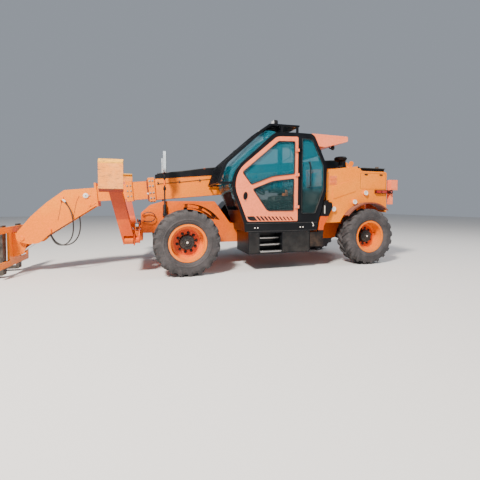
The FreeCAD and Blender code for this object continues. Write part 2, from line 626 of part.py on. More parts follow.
cab_rows = [
    ("1020", "skirt_low", "30"), ("1005", "cab_floor", "60"), ("700", "1745", "540"),
    ("1600", "2560", "220"), ("2000", "2590", "900"), ("2420", "2590", "140"),
    ("2712", "1990", "300"), ("2700", "1520", "200"), ("2522", "cab_floor", "60"),
    ("2500", "skirt_low", "30"),
]
cab_inner_rows = [
    ("1068", "cab_floor + 30", "40"), ("755", "1745", "495"), ("1622", "2516", "175"),
    ("2000", "2545", "800"), ("2392", "2545", "100"), ("2660", "1985", "260"),
    ("2652", "1525", "160"), ("2482", "cab_floor + 30", "30"),
]
door_rows = [
    ("1072", "925", "50"), ("758", "1735", "500"), ("1650", "2492", "180"),
    ("2084", "2514", "30"), ("2074", "920", "25"),
]
door_gap_rows = [
    ("1072 - 4", "925 - door_seam", "52"), ("758 - 7", "1735", "505"), ("1650 - 3", "2492 + 7", "182"),
    ("2084 + door_seam", "2514 + door_seam", "30"), ("2074 + door_seam", "920 - door_seam", "25"),
]
door_upper_rows = [
    ("970", "1815", "45"), ("1675", "2412", "60"), ("2018", "2428", "25"),
    ("2012", "1812", "25"), ("1560", "1752", "600"), ("1140", "1590", "40"),
]
door_lower_rows = [
    ("1165", "1515", "30"), ("1560", "1672", "600"), ("2000", "1728", "25"),
    ("1992", "1113", "25"), ("1450", "1113", "110"),
]
quarter_rows = [
    ("2150", "1060", "30"), ("2156", "2492", "30"), ("2385", "2492", "90"),
    ("2635", "1990", "230"), ("2640", "1535", "140"), ("2452", "1060", "40"),
]
right_window_rows = [
    ("960", "1690", "240"), ("1610", "2420", "120"), ("2060", "2440", "30"),
    ("2060", "1340", "40"), ("1020", "1340", "60"),
]
screen_rows = [
    ("300", "1130"), ("1010", "1130"), ("850", "1500"), ("850", "1830"), ("1560", "2470"),
    ("1420", "2800"), ("300", "2800"),
]
bubble_rows = [
    ("1040", "1135", "20"), ("930", "1135", "60"), ("600", "1755", "560"), ("1440", "2610", "120"),
    ("1640", "2590", "20"), ("1500", "2200", "20"), ("1100", "1700", "20"),
]
bubble_inner_rows = [
    ("1140", "1143"), ("936", "1143", "52"), ("609", "1756", "552"), ("1444", "2601", "112"),
    ("1740", "2582"), ("1600", "2200"), ("1200", "1700"),
]

hinge_heights = ("1160", "1767", "2229")


def make_cab():
    shell = side(cab_rows, "cab_left", "cab_right", "CabOuter")
    room = side(cab_inner_rows, "cab_left + cab_wall", "cab_right - cab_wall", "CabRoom")
    doorway = side(door_gap_rows, "cab_left - 10", "cab_left + cab_wall + 10", "Doorway")
    quarter = side(quarter_rows, "cab_left - 10", "cab_right + 10", "QuarterGap")
    right = side(right_window_rows, "cab_right - cab_wall - 10", "cab_right + 10", "RightGap")
    screen = side(screen_rows, "cab_left + 60", "cab_right - 60", "ScreenGap")
    roof = box("1780", "2280", "cab_left + 130", "cab_right - 130", "2500", "2700", "RoofGap")
    back = box("2500", "2800", "cab_left + 90", "cab_right - 90", "1600", "2200", "BackGap")
    keep_shell = cut(shell, [room, doorway, quarter, right, screen, roof, back])
    rail = box("900", "2800", "0 - frame_half", "cab_right + 10", "700", "rail_high", "RailGap")
    hinges = []
    for z0 in hinge_heights:
        hinges.append(box("hinge_x + 4", "hinge_x + 52", "cab_left - 6", "cab_left + 1", z0, f"{z0} + hinge_long", "Hinge"))
        for z1 in (f"{z0} - 8", f"{z0} + hinge_long"):
            hinges.append(box("hinge_x - 10", "hinge_x + 52", "cab_left - hinge_out - 12", "cab_left - 5", z1, f"{z1} + 8", "HingeEar"))
            hinges.append(box("hinge_x + 4", "hinge_x + 52", "cab_left - 6", "cab_left + 1", z1, f"{z1} + 8", "EarRoot"))
        hinges.append(rod("z", "hinge_x", "cab_left - hinge_out", f"{z0} - 8", "hinge_pin", "hinge_long + 16", "HingePin"))
    on_chassis("cab_shell", fuse([cut(keep_shell, [rail])] + hinges))

    mid = "cab_wall / 2"
    panes = []
    panes.append(side(quarter_rows, f"cab_left + {mid} - glass", f"cab_left + {mid}", "QuarterPane"))
    panes.append(side(quarter_rows, f"cab_right - {mid}", f"cab_right - {mid} + glass", "QuarterPane"))
    panes.append(side(right_window_rows, f"cab_right - {mid}", f"cab_right - {mid} + glass", "RightPane"))
    panes.append(box("1780", "2280", "cab_left + 130", "cab_right - 130", "2560", "2560 + glass", "RoofPane"))
    bubble = side(bubble_rows, "cab_left + 45", "cab_right - 45", "Bubble")
    hollow = side(bubble_inner_rows, "cab_left + 45 + glass", "cab_right - 45 - glass", "BubbleRoom")
    behind = side(cab_rows, "cab_left - 20", "cab_right + 20", "Behind")
    panes.append(cut(bubble, [hollow, behind]))
    ring_out = side(cab_rows, "cab_left + 90", "cab_right - 90", "BackOuter")
    ring_in = side(cab_inner_rows, "cab_left + 80", "cab_right - 80", "BackInner")
    zone = box("2600", "2800", "cab_left + 90", "cab_right - 90", "1600", "2200", "BackZone")
    pane = doc.addObject("Part::MultiCommon", "BackPane")
    pane.Shapes = [cut(ring_out, [ring_in]), zone]
    panes.append(pane)
    on_chassis("cab_glass", group(panes))

    leaf = side(door_rows, "cab_left", "cab_left + door_thick", "DoorLeaf")
    upper = side(door_upper_rows, "cab_left - 10", "cab_left + door_thick + 10", "UpperGap")
    lower = side(door_lower_rows, "cab_left - 10", "cab_left + door_thick + 10", "LowerGap")
    knuckles = []
    bores = []
    for z0 in hinge_heights:
        z1, high = f"{z0} + side_play / 2", "hinge_long - side_play"
        knuckles.append(rod("z", "hinge_x", "cab_left - hinge_out", z1, "hinge_pin + 5", high, "Knuckle"))
        knuckles.append(box("hinge_x - 70", "hinge_x - 6", "cab_left - hinge_out - 7", "cab_left - hinge_out + 7", z1, f"{z1} + {high}", "Leaf"))
        knuckles.append(box("hinge_x - 70", "hinge_x - 12", "cab_left - hinge_out + 1", "cab_left + 1", z1, f"{z1} + {high}", "LeafFoot"))
        bores.append(rod("z", "hinge_x", "cab_left - hinge_out", z0, "hinge_pin + running_fit", "hinge_long", "Bore"))
    on_chassis("cab_door", cut(fuse([cut(leaf, [upper, lower])] + knuckles), bores))
    panes = []
    for rows in (door_upper_rows, door_lower_rows):
        panes.append(side(rows, "cab_left + door_thick / 2 - glass", "cab_left + door_thick / 2", "DoorPane"))
    on_chassis("door_glass", group(panes))


def make_guard():
    strip = [
        ("515", "1600"), ("640", "1975", "360"), ("1495", "2722", "180"), ("2110", "2730"),
        ("2110", "2700"), ("1512", "2690", "160"), ("690", "1955", "320"), ("560", "1600"),
    ]
    pieces = []
    count = 7
    for k in range(count):
        y0 = f"cab_left + 6 + (cab_right - cab_left - 24) * {k} / {count - 1}"
        pieces.append(side(strip, y0, f"{y0} + 12", "GuardBar"))
    for x, z, length in (("537", "1612", "12"), ("640", "1870", "12"), ("1060", "2335", "12"), ("1500", "2702", "12")):
        pieces.append(rod("y", x, "cab_left + 6", z, "14", "cab_right - cab_left - 12", "GuardCross"))
    pieces.append(box("1560", "2110", "cab_left + 6", "cab_right - 6", "2704", "2714", "GuardRoof"))
    for y0 in ("cab_left + 6", "cab_right - 18"):
        pieces.append(box("530", "795", y0, f"{y0} + 12", "1598", "1640", "GuardFoot"))
        for x0 in ("1720", "2040"):
            pieces.append(box(x0, f"{x0} + 50", y0, f"{y0} + 12", "2560", "2720", "GuardPost"))
    body = fuse(pieces)
    behind = side(cab_rows, "cab_left - 20", "cab_right + 20", "Behind")
    return on_chassis("cab_guard", cut(body, [behind]))


def make_cab_fittings():
    visor = side([
        ("2380", "2602"), ("3200", "2594", "30"), ("3197", "2495", "30"), ("2680", "2358", "50"),
        ("2545", "2365"),
    ], "cab_left + 20", "cab_right - 20", "Visor")
    behind = side(cab_rows, "cab_left - 20", "cab_right + 20", "Behind")
    on_chassis("roof_visor", cut(visor, [behind]))

    base = box("1800", "2180", "cab_left + 250", "cab_right - 250", "cab_floor + 30", "1290", "SeatBase")
    squab = side([("1700", "1290", "30"), ("1700", "1400", "50"), ("2200", "1400", "30"), ("2260", "1290", "30")],
                 "cab_left + 200", "cab_right - 200", "Squab")
    back = side([("2120", "1380", "40"), ("2215", "2000", "50"), ("2330", "2000", "50"), ("2270", "1330", "50")],
                "cab_left + 210", "cab_right - 210", "Back")
    head = side([("2225", "1990", "20"), ("2245", "2190", "40"), ("2330", "2190", "40"), ("2320", "1990", "20")],
                "cab_left + 310", "cab_right - 310", "Headrest")
    on_chassis("seat", fuse([base, squab, back, head]))

    dash = side([("1110", "cab_floor + 30"), ("1010", "1300", "30"), ("1100", "1420", "60"), ("1260", "1380", "40"),
                 ("1300", "cab_floor + 30")], "cab_left + 220", "cab_right - 220", "Dash")
    column = doc.addObject("Part::Cylinder", "Column")
    column.Radius = 28
    column.Height = 330
    lean = Rotation(Vector(0, 1, 0), 38)
    place(column, "1210", "(cab_left + cab_right) / 2", "1300", lean)
    wheel = doc.addObject("Part::Torus", "SteeringWheel")
    wheel.Radius1 = 185
    wheel.Radius2 = 14
    place(wheel, "1410", "(cab_left + cab_right) / 2", "1555", lean)
    spoke = doc.addObject("Part::Cylinder", "Spoke")
    spoke.Radius = 180
    spoke.Height = 8
    place(spoke, "1408", "(cab_left + cab_right) / 2", "1551", lean)
    holes = []
    for turn in (0, 120, 240):
        hole = doc.addObject("Part::Cylinder", "Hole")
        hole.Radius = 62
        hole.Height = 60
        at = Placement(Vector(value("1408"), value("(cab_left + cab_right) / 2"), value("1551")), lean)
        hole.Placement = at.multiply(Placement(Vector(0, 0, 0), Rotation(Vector(0, 0, 1), turn))).multiply(
            Placement(Vector(105, 0, -30), Rotation()))
        holes.append(hole)
    on_chassis("console", fuse([dash, column, wheel, cut(spoke, holes)]))


def make_steps_and_tanks():
    outer = box("1087", "2340", "cab_left", "0 - frame_half", "325", "skirt_low", "StepBox")
    niche = box("1309", "1750", "cab_left - 10", "cab_left + 260", "350", "712", "Niche")
    treads = []
    for z0 in ("350", "470", "590"):
        treads.append(box("1300", "1760", f"cab_left + ({z0} - 350) * 0.5", "cab_left + 265", z0, f"{z0} + 22", "Tread"))
    on_chassis("step_box", fuse([cut(outer, [niche])] + treads))

    lower = box("2352", "2640", "cab_left + 10", "0 - frame_half", "420", "700", "TankLow")
    fin = side([
        ("2532", "640"), ("2640", "640"), ("2655", "800", "40"), ("2855", "1180", "30"),
        ("2840", "1276", "20"), ("2660", "1300", "15"), ("2548", "880"),
    ], "cab_left + 10", "0 - hood_side - 6", "TankFin")
    on_chassis("hydraulic_tank", fuse([lower, fin]))

    tank = side([
        ("930", "510", "60"), ("930", "1130", "120"), ("1120", "1330", "120"), ("2640", "1330", "60"),
        ("2640", "510", "60"),
    ], "frame_half", "hood_side", "SideTank")
    on_chassis("side_tank", tank)


hood_rows = [
    ("hood_front", "hood_low", "30"), ("hood_front + 20", "1931", "60"), ("3518", "2024", "60"),
    ("3593", "1929", "30"), ("tail_x - 10", "1929", "50"), ("tail_x - 10", "1150", "20"),
]


def make_hoods():

    outer = side(hood_rows[:5] + [("tail_x - 10", "1000", "20"), ("wheelbase", "900")], "hood_inner", "hood_side", "HoodOuter")
    wheel = rod("y", "wheelbase", "0", "tyre_radius", "fender_radius + fender_plate + 0.3", "2000", "Arch")
    w = "hood_wall"
    inner_rows = [
        (f"hood_front + {w}", "hood_low - 300"), (f"hood_front + {w} + 20", f"1931 - {w}", "40"),
        ("3512", f"2024 - {w}", "40"), ("3587", f"1929 - {w}", "20"),
        (f"tail_x - 10 - {w}", f"1929 - {w}", "30"), (f"tail_x - 10 - {w}", "1000"),
        (f"tail_x - 10 - {w}", "hood_low - 300"),
    ]
    room = side(inner_rows, f"hood_inner + {w}", f"hood_side - {w}", "HoodRoom")
    passage = side([("hood_front + 2", "hood_low - 10"), ("hood_front + 2", "deck_high + 20"),
                    ("tail_x - 30", "deck_high + 20"), ("tail_x - 30", "hood_low - 10")],
                   "hood_inner - 10", f"hood_inner + {w} + 10", "Passage")
    stem_hole = rod("z", "3398", "600", "1900", "52", "300", "StemHole")
    shell = cut(outer, [wheel, room, passage, stem_hole])
    emboss = side([("2890", "1586", "20"), ("3279", "1715", "60"), ("3474", "1679", "40"),
                   ("3452", "1514", "40"), ("2905", "1346", "20")],
                  "hood_side - 1", "hood_side + 9", "Emboss")
    bosses = []
    for x, z in (("2905", "1145"), ("3406", "1287"), ("3675", "1475")):
        bosses.append(rod("y", x, "hood_side - 1", z, "52", "36", "Boss"))
    dressed = fuse([shell, emboss] + bosses)
    lid = box("3625", "tail_x - 30", "hood_inner + 25", "hood_side - 25", "1987", "2003", "Lid")
    on_chassis("engine_hoods", group(both(dressed) + both(lid)))

    grille = box("3640", "tail_x - 45", "hood_inner + 40", "hood_side - 40", "1929", "1987", "Grille")
    pitch = "(tail_x - 45 - 3640 - 15) / grille_slots"
    slots = []
    for k in range(int(value("grille_slots"))):
        x0 = f"3655 + {k} * {pitch}"
        slots.append(box(x0, f"{x0} + {pitch} - 15", "hood_inner", "hood_side", "1939", "1977", "Slot"))
    on_chassis("hood_grilles", group(both(cut(grille, slots))))

    block = box("tail_x - 1340", "tail_x - 290", "0 - hood_side + 100", "0 - hood_inner - 80", "deck_high + 15", "1790", "Engine")
    on_chassis("engine_block", group([block]))

    stem = rod("z", "3398", "0 - 600", "1790", "45", "440", "Stem")
    hat = turned("YZ_Plane", [
        ("2175", "0"), ("2175", "60"), ("2200", "120"), ("2245", "138"), ("2275", "110"), ("2285", "0"),
    ], "Hat")
    hat.Placement = Placement(Vector(0, 0, 0), Rotation(Vector(1, 0, 0), 90))
    hat = place(group([hat]), "3398", "0 - 600", "0")
    on_chassis("air_precleaner", fuse([stem, hat]))

    pipe = rod("z", "tail_x + 45", "0 - 700", "1480", "36", "600", "Pipe")
    bracket = box("tail_x - 10", "tail_x + 45", "0 - 730", "0 - 670", "1500", "1530", "PipeFoot")
    on_chassis("exhaust_pipe", fuse([pipe, bracket]))


def make_lamps_and_mirrors():
    bar = box("tail_x - 319", "tail_x + 90", "0 - hood_side - 40", "0 - hood_side", "1468", "1540", "LampBar")
    round_lamp = rod("y", "tail_x + 50", "0 - hood_side - 70", "1504", "42", "40", "RoundLamp")
    post = box("tail_x + 60", "tail_x + 130", "0 - hood_side - 30", "0 - hood_side + 60", "1240", "1545", "LampPost")
    board = box("tail_x + 60", "tail_x + 238", "0 - hood_side - 45", "0 - hood_side + 60", "1545", "1760", "LampBoard")
    on_chassis("tail_lamps", group(both(fuse([bar, round_lamp, post, board]))))

    foot = box("0 - 385", "0 - 310", "0 - 470", "0 - frame_half", "1010", "1070", "MirrorFoot")
    pole = rod("z", "0 - 347", "0 - 440", "1030", "15", "1180", "MirrorPole")
    bulb = rod("z", "0 - 347", "0 - 440", "1065", "34", "170", "MirrorBulb")
    head = across([("0 - 545", "1830", "90"), ("0 - 335", "1830", "90"), ("0 - 335", "2235", "90"),
                   ("0 - 545", "2235", "90")], "0 - 372", "0 - 322", "MirrorHead")
    on_chassis("mirrors", group(both(fuse([foot, pole, bulb, head]))))

    beacon = rod("z", "2240", "0 - 680", "2590", "48", "105", "Beacon")
    lamps = [beacon]
    for y0 in ("cab_left + 20", "cab_right - 148"):
        lamps.append(box("1585", "1665", y0, f"{y0} + 126", "2714", "2800", "WorkLamp"))
    on_chassis("roof_lamps", group(lamps))


def make_boom():
    half = "boom_wide / 2"
    low = "boom_top - boom_high"
    outer = box("boom_front", "190", f"0 - {half}", half, low, "boom_top", "OuterTube")
    bore = box("boom_front - 10", "0 - 160", f"0 - {half} + boom_wall", f"{half} - boom_wall",
               f"{low} + boom_wall", "boom_top - boom_wall", "OuterRoom")
    tube = rod("y", "0", "0 - frame_half + plate + 6", "0", "pivot_pin * 1.9", "2 * (frame_half - plate - 6)", "PivotTube")
    pin_hole = rod("y", "0", "0 - frame_half", "0", "pivot_pin + running_fit", "2 * frame_half", "PinHole")
    lug_rows = [
        ("lift_arm - 190", f"{low} + 2"), ("lift_arm - 62", "lift_drop - 62", "60"),
        ("lift_arm + 62", "lift_drop - 62", "60"), ("lift_arm + 190", f"{low} + 2"),
    ]
    lugs = both(side(lug_rows, "48", "78", "LiftLug"))
    bosses = both(rod("y", "lift_arm", "78", "lift_drop", "lift_pin + 12", "14", "LiftBoss"))
    mid_high = "middle_high + 2 * slide_fit"
    middle_z = f"boom_top - boom_high / 2 - ({mid_high}) / 2"
    collar = box("boom_front", "boom_front + collar", f"0 - {half} - 28", f"{half} + 28", f"{low} - 28",
                 "boom_top + 28", "Collar")
    mouth = box("boom_front - 10", "boom_front + collar + 10", f"0 - ({mid_high}) / 2", f"({mid_high}) / 2",
                middle_z, f"{middle_z} + {mid_high}", "Mouth")
    lining = box("boom_front", "boom_front + collar", f"0 - {half} + 4", f"{half} - 4", f"{low} + 4",
                 "boom_top - 4", "Lining")
    rear_lug = both(side([("120", "boom_top - 20"), ("60", "boom_top"), ("200", "boom_top + 165", "45"),
                          ("290", "boom_top + 120", "45"), ("190", "boom_top - 20")], "90", "115", "RearLug"))
    hollow = cut(outer, [bore])
    body = fuse([hollow, collar, lining, tube] + lugs + bosses + rear_lug)
    on_boom("boom_outer", cut(body, [pin_hole, mouth]))

    tray = side([("boom_front + 25 + collar", "boom_top"), ("boom_front + 25 + collar", "boom_top + 90", "15"),
                 ("0 - 3130", "boom_top + 158", "60"), ("20", "boom_top + 185", "40"), ("20", "boom_top")],
                "0 - 150", "60", "Tray")
    on_boom("hose_carrier", tray)

    centre = "boom_top - boom_high / 2"
    for node, high, front, back, next_high in (
        ("boom_middle", "middle_high", "middle_front", "middle_back", "inner_high"),
        ("boom_inner", "inner_high", "inner_front", "inner_back", None),
    ):
        half = f"{high} / 2"
        shaft = box(front, back, f"0 - {half}", half, f"{centre} - {half}", f"{centre} + {half}", "Section")
        room = box(f"{front} - 10", f"{back} + 10", f"0 - {half} + 11", f"{half} - 11",
                   f"{centre} - {half} + 11", f"{centre} + {half} - 11", "SectionRoom")
        section = cut(shaft, [room])
        if next_high:
            gap = f"({next_high} / 2 + slide_fit)"
            ring = box(front, f"{front} + collar", f"0 - {half} - 22", f"{half} + 22", f"{centre} - {half} - 22",
                       f"{centre} + {half} + 22", "Ring")
            mouth = box(f"{front} - 10", f"{front} + collar + 10", f"0 - {gap}", gap, f"{centre} - {gap}",
                        f"{centre} + {gap}", "RingMouth")
            section = cut(fuse([section, ring]), [mouth])
            on_boom(node, section)
        else:
            make_head(section)


def hose_ends(half):
    """Blocks on the head's left plate, outside and inside, that hold the hoses' ends."""
    ends = []
    stub = rod("z", "0", "0", "0", "hose_radius + 5", "78", "HoseStub")
    stub = place(group([stub]), "0 - 5990", f"0 - {half} - 20", "0 - 95", Rotation(Vector(0, 1, 0), -38))
    ends.append(stub)
    # from and to along the boom, across and up
    for x0, x1, y0, y1, z0, z1 in (
        ("0 - 6070", "0 - 6010", f"0 - {half} - 36", f"1 - {half}", "0 - 62", "0 - 4"),
        ("0 - 6298", "0 - 6262", f"0 - {half} - 38", f"1 - {half}", "0 - 640", "0 - 560"),
        ("0 - 5818", "0 - 5782", f"head_plate - {half} - 1", f"head_plate - {half} + 40", "0 - 330", "0 - 270"),
        ("0 - 6308", "0 - 6272", f"head_plate - {half} - 1", f"head_plate - {half} + 40", "0 - 660", "0 - 600"),
    ):
        ends.append(box(x0, x1, y0, y1, z0, z1, "HoseEnd"))
    return ends


# routes of the hoses' middle lines, along, across and up
outer_route = [
    (-5988, -171, -98), (-5935, -180, -190), (-5898, -192, -330), (-5888, -200, -490), (-5905, -200, -650),
    (-5955, -195, -780), (-6050, -186, -868), (-6165, -178, -868), (-6250, -172, -780), (-6280, -172, -643),
]
inner_route = [
    (-5800, -108, -332), (-5790, -112, -450), (-5800, -118, -600), (-5845, -122, -745), (-5935, -122, -850),
    (-6055, -118, -890), (-6175, -112, -855), (-6255, -108, -770), (-6290, -108, -664),
]
loop_route = [
    (-725, 430, 1063), (-630, 438, 1098), (-525, 448, 1058), (-525, 448, 948), (-630, 438, 903), (-725, 430, 929),
]


def bent(route):
    """Straight runs joined by arcs as large as the runs allow; prints the arcs' radii."""
    spots = [Vector(*spot) for spot in route]
    edges, radii, start = [], [], spots[0]
    for before, spot, after in zip(spots, spots[1:], spots[2:]):
        back, on = before - spot, after - spot
        turn = math.pi - back.getAngle(on)
        reach = 0.45 * min(back.Length, on.Length)
        radii.append(round(reach / math.tan(turn / 2)))
        first = spot + back.normalize() * reach
        last = spot + on.normalize() * reach
        middle = (back + on).normalize()
        radius = reach / math.tan(turn / 2)
        nearest = spot + middle * (radius / math.cos(turn / 2) - radius)
        edges.append(Part.LineSegment(start, first).toShape())
        edges.append(Part.Arc(first, nearest, last).toShape())
        start = last
    edges.append(Part.LineSegment(start, spots[-1]).toShape())
    print("arc radii", radii, "length", round(sum(edge.Length for edge in edges)))
    return Part.Wire(edges)


def hose(route, radius="hose_radius"):
    """Plain tube along a route."""
    line = bent(route)
    first = line.Edges[0]
    ring = Part.Wire([Part.Circle(first.valueAt(first.FirstParameter), first.tangentAt(first.FirstParameter),
                                  value(radius)).toShape()])
    tube = doc.addObject("Part::Feature", "Hose")
    tube.Shape = line.makePipeShell([ring], True, True)
    return tube


def make_head(section):
    half = "head_wide / 2"
    flange = across([("0 - 165", "0 - 222"), ("0 - 165", "boom_top"), ("165", "boom_top"), ("165", "0 - 222")],
                    "inner_front", "inner_front + 34", "HeadFlange")
    outer = side([
        ("inner_front", "124"), ("inner_front", "0 - 207", "15"), ("0 - 6333", "0 - 676", "60"),
        ("0 - 6480", "0 - 790", "60"), ("0 - 6640", "0 - 790", "60"), ("0 - 6835", "0 - 700", "90"),
        ("0 - 6790", "0 - 560", "60"), ("0 - 6560", "0 - 310", "60"), ("0 - 6290", "0 - 84", "60"),
        ("0 - 5989", "116", "60"),
    ], f"0 - {half}", half, "HeadOuter")
    room = side([
        ("inner_front - 22", "104"), ("inner_front - 22", "0 - 400"), ("0 - 6333", "0 - 1000"),
        ("0 - 7000", "0 - 1000"), ("0 - 7000", "0 - 460"), ("0 - 6640", "0 - 425"),
        ("0 - 6280", "0 - 108", "50"), ("0 - 5985", "95", "50"),
    ], f"0 - {half} + head_plate", f"{half} - head_plate", "HeadRoom")
    head = cut(outer, [room])
    pins = [rod("y", "tilt_base_x", f"0 - {half} - 12", "tilt_base_z", "tilt_pin", "head_wide + 24", "TiltPin")]
    # the coupler's pin is placed in the machine's own frame, so it is turned back here
    run = "coupler_x - pivot_x"
    rise = "coupler_z - pivot_z"
    pin_x = f"({run}) * cos(boom_dip) + ({rise}) * sin(boom_dip)"
    pin_z = f"({rise}) * cos(boom_dip) - ({run}) * sin(boom_dip)"
    pins.append(rod("y", pin_x, f"0 - {half} - 14", pin_z, "coupler_pin", "head_wide + 28", "CouplerPin"))
    spacers = []
    for y0 in ("76", "0 - 128"):
        spacers.append(rod("y", pin_x, y0, pin_z, "coupler_pin + 18", "52", "Spacer"))
    lugs = []
    for y0 in (f"{half} - head_plate - 72", f"0 - {half} + head_plate"):
        lugs.append(rod("y", "tilt_base_x", y0, "tilt_base_z", "tilt_pin + 16", "72", "Spacer"))
    on_boom("boom_inner", fuse([section, flange, head] + pins + spacers + lugs + hose_ends(half)))


def long_ram(length, radius, shaft, eye_radius, eye_half, base_half, pin, barrel_end, tail):
    """Cylinder drawn along -X from its base pin; returns both pieces level at the origin."""
    bored = f"{shaft} + running_fit"
    tube = turned("XZ_Plane", [
        (f"0 - {radius} + 10", bored), (f"0 - {radius} + 10", radius), (f"0 - ({barrel_end})", radius),
        (f"0 - ({barrel_end})", bored),
    ], "Barrel")
    cap = rod("y", "0", f"0 - ({base_half})", "0", radius, f"2 * ({base_half})", "BarrelCap")
    pin_bore = rod("y", "0", "0 - 400", "0", f"{pin} + running_fit", "800", "Bore")
    barrel = cut(fuse([tube, cap]), [pin_bore])
    stick = turned("XZ_Plane", [(f"0 - ({tail})", "0"), (f"0 - ({tail})", shaft), (f"0 - ({length})", shaft),
                                (f"0 - ({length})", "0")], "Stick")
    eye = rod("y", f"0 - ({length})", f"0 - {eye_half}", "0", eye_radius, f"2 * {eye_half}", "Eye")
    return barrel, fuse([stick, eye])


def make_hoses():
    on_boom("head_hose_outer", hose(outer_route))
    on_boom("head_hose_inner", hose(inner_route))
    on_chassis("stabiliser_hose_left", group([mirror_y(hose(loop_route, "hose_radius - 3"))]))
    on_chassis("stabiliser_hose_right", hose(loop_route, "hose_radius - 3"))


def make_lift():
    eye_x = "pivot_x + lift_arm * cos(boom_dip) - lift_drop * sin(boom_dip)"
    eye_z = "pivot_z + lift_arm * sin(boom_dip) + lift_drop * cos(boom_dip)"
    run = f"lift_base_x - ({eye_x})"
    rise = f"({eye_z}) - lift_base_z"
    length = f"sqrt(({run}) ^ 2 + ({rise}) ^ 2)"
    pieces = long_ram(length, "80", "45", "60", "44", "lift_lug_gap / 2 - 4", "lift_pin",
                      f"{length} - 180", "300")
    for node, piece in zip(("lift_barrel", "lift_rod"), pieces):
        angle = f"atan(({rise}) / ({run}))"
        piece = place(piece, "front_axle_x + lift_base_x", "0", "lift_base_z", Rotation(Vector(0, 1, 0), value(angle)))
        bind(piece, "Placement.Rotation.Angle", angle)
        keep(node, piece)


def make_tilt():
    base_x = "pivot_x + tilt_base_x * cos(boom_dip) - tilt_base_z * sin(boom_dip)"
    base_z = "pivot_z + tilt_base_x * sin(boom_dip) + tilt_base_z * cos(boom_dip)"
    run = f"({base_x}) - (coupler_x + tilt_eye_x)"
    fall = f"({base_z}) - (coupler_z + tilt_eye_z)"
    length = f"sqrt(({run}) ^ 2 + ({fall}) ^ 2)"
    pieces = long_ram(length, "52", "28", "42", "40", "54", "tilt_pin", "930", "450")
    for node, piece in zip(("tilt_barrel", "tilt_rod"), pieces):
        angle = f"atan(({fall}) / ({run}))"
        keep(node, tipped(piece, f"front_axle_x + {base_x}", base_z, angle))


def make_carriage():
    face = "carriage_face"
    lug_rows = [
        (face, "0 - 330"), (face, "105", "20"), ("0 - 20", "62", "40"), ("58", "30", "50"), ("58", "0 - 40", "40"),
        ("tilt_eye_x + 58", "tilt_eye_z - 20", "45"), ("tilt_eye_x - 10", "tilt_eye_z - 62", "45"),
    ]
    lugs = both(side(lug_rows, "46", "70", "CouplerLug"))
    bore = rod("y", "0", "0 - 200", "0", "coupler_pin + running_fit", "400", "Bore")
    low, top = "bar_low_z - coupler_z", "bar_top_z - coupler_z"
    wide = "carriage_wide / 2"
    bars = []
    for z0 in (low, top):
        bars.append(box(f"{face} - bar_thick", face, f"0 - {wide}", wide, z0, f"{z0} + bar_high", "Bar"))
    bars.append(box(f"{face} - bar_thick", face, "0 - 210", "210", low, f"{top} + bar_high", "MidPlate"))
    for y0 in (f"0 - {wide}", f"{wide} - 40"):
        bars.append(box(f"{face} - bar_thick", face, y0, f"{y0} + 40", low, f"{top} + bar_high", "EndPlate"))
    frame = cut(fuse(lugs + bars), [bore])
    keep("carriage", place(frame, "front_axle_x + coupler_x", "0", "coupler_z"))

    back = "coupler_x + carriage_face - bar_thick"
    rows = [
        (back, "fork_low", "20"), ("fork_tip", "fork_low"), ("fork_tip", "fork_low + 14"),
        ("fork_tip + 420", "fork_low + fork_thick"), (f"{back} - fork_thick", "fork_low + fork_thick"),
        (f"{back} - fork_thick", "bar_top_z + bar_high + 30"), (back, "bar_top_z + bar_high + 30"),
    ]
    fork = side(rows, "fork_spread - fork_wide / 2", "fork_spread + fork_wide / 2", "Fork")
    on_chassis("forks", group(both(fork)))


def main():
    make_frame()
    for node, station in (("front_axle", "0"), ("rear_axle", "wheelbase")):
        make_axle(node, station)
    for end, station in (("front", "0"), ("rear", "wheelbase")):
        for name, hand in (("left", -1), ("right", 1)):
            make_knuckle(f"knuckle_{end}_{name}", station, hand)
            make_rim(f"rim_{end}_{name}", station, hand)
            make_tyre(f"tyre_{end}_{name}", station, hand)
    for name, hand in (("left", -1), ("right", 1)):
        make_front_fender(f"fender_front_{name}", hand)
        make_stabiliser(hand)
    make_rear_fenders()
    make_cab()
    make_guard()
    make_cab_fittings()
    make_steps_and_tanks()
    make_hoods()
    make_lamps_and_mirrors()
    make_boom()
    make_hoses()
    make_lift()
    make_tilt()
    make_carriage()
    doc.recompute()
    bad = [o.Label for o in doc.Objects if "Invalid" in o.State or "Error" in o.State]
    if bad:
        raise SystemExit("failed objects: " + ", ".join(bad))
    os.makedirs("parts", exist_ok=True)
    for node, piece in kept.items():
        shape = piece.Shape
        if shape.isNull() or not shape.isValid():
            raise SystemExit(f"{node} is not a valid shape")
        shape.exportStep(f"parts/{node}.step")
        print(node, len(shape.Solids), "solids", round(shape.Volume / 1e9, 4), "m3")


main()
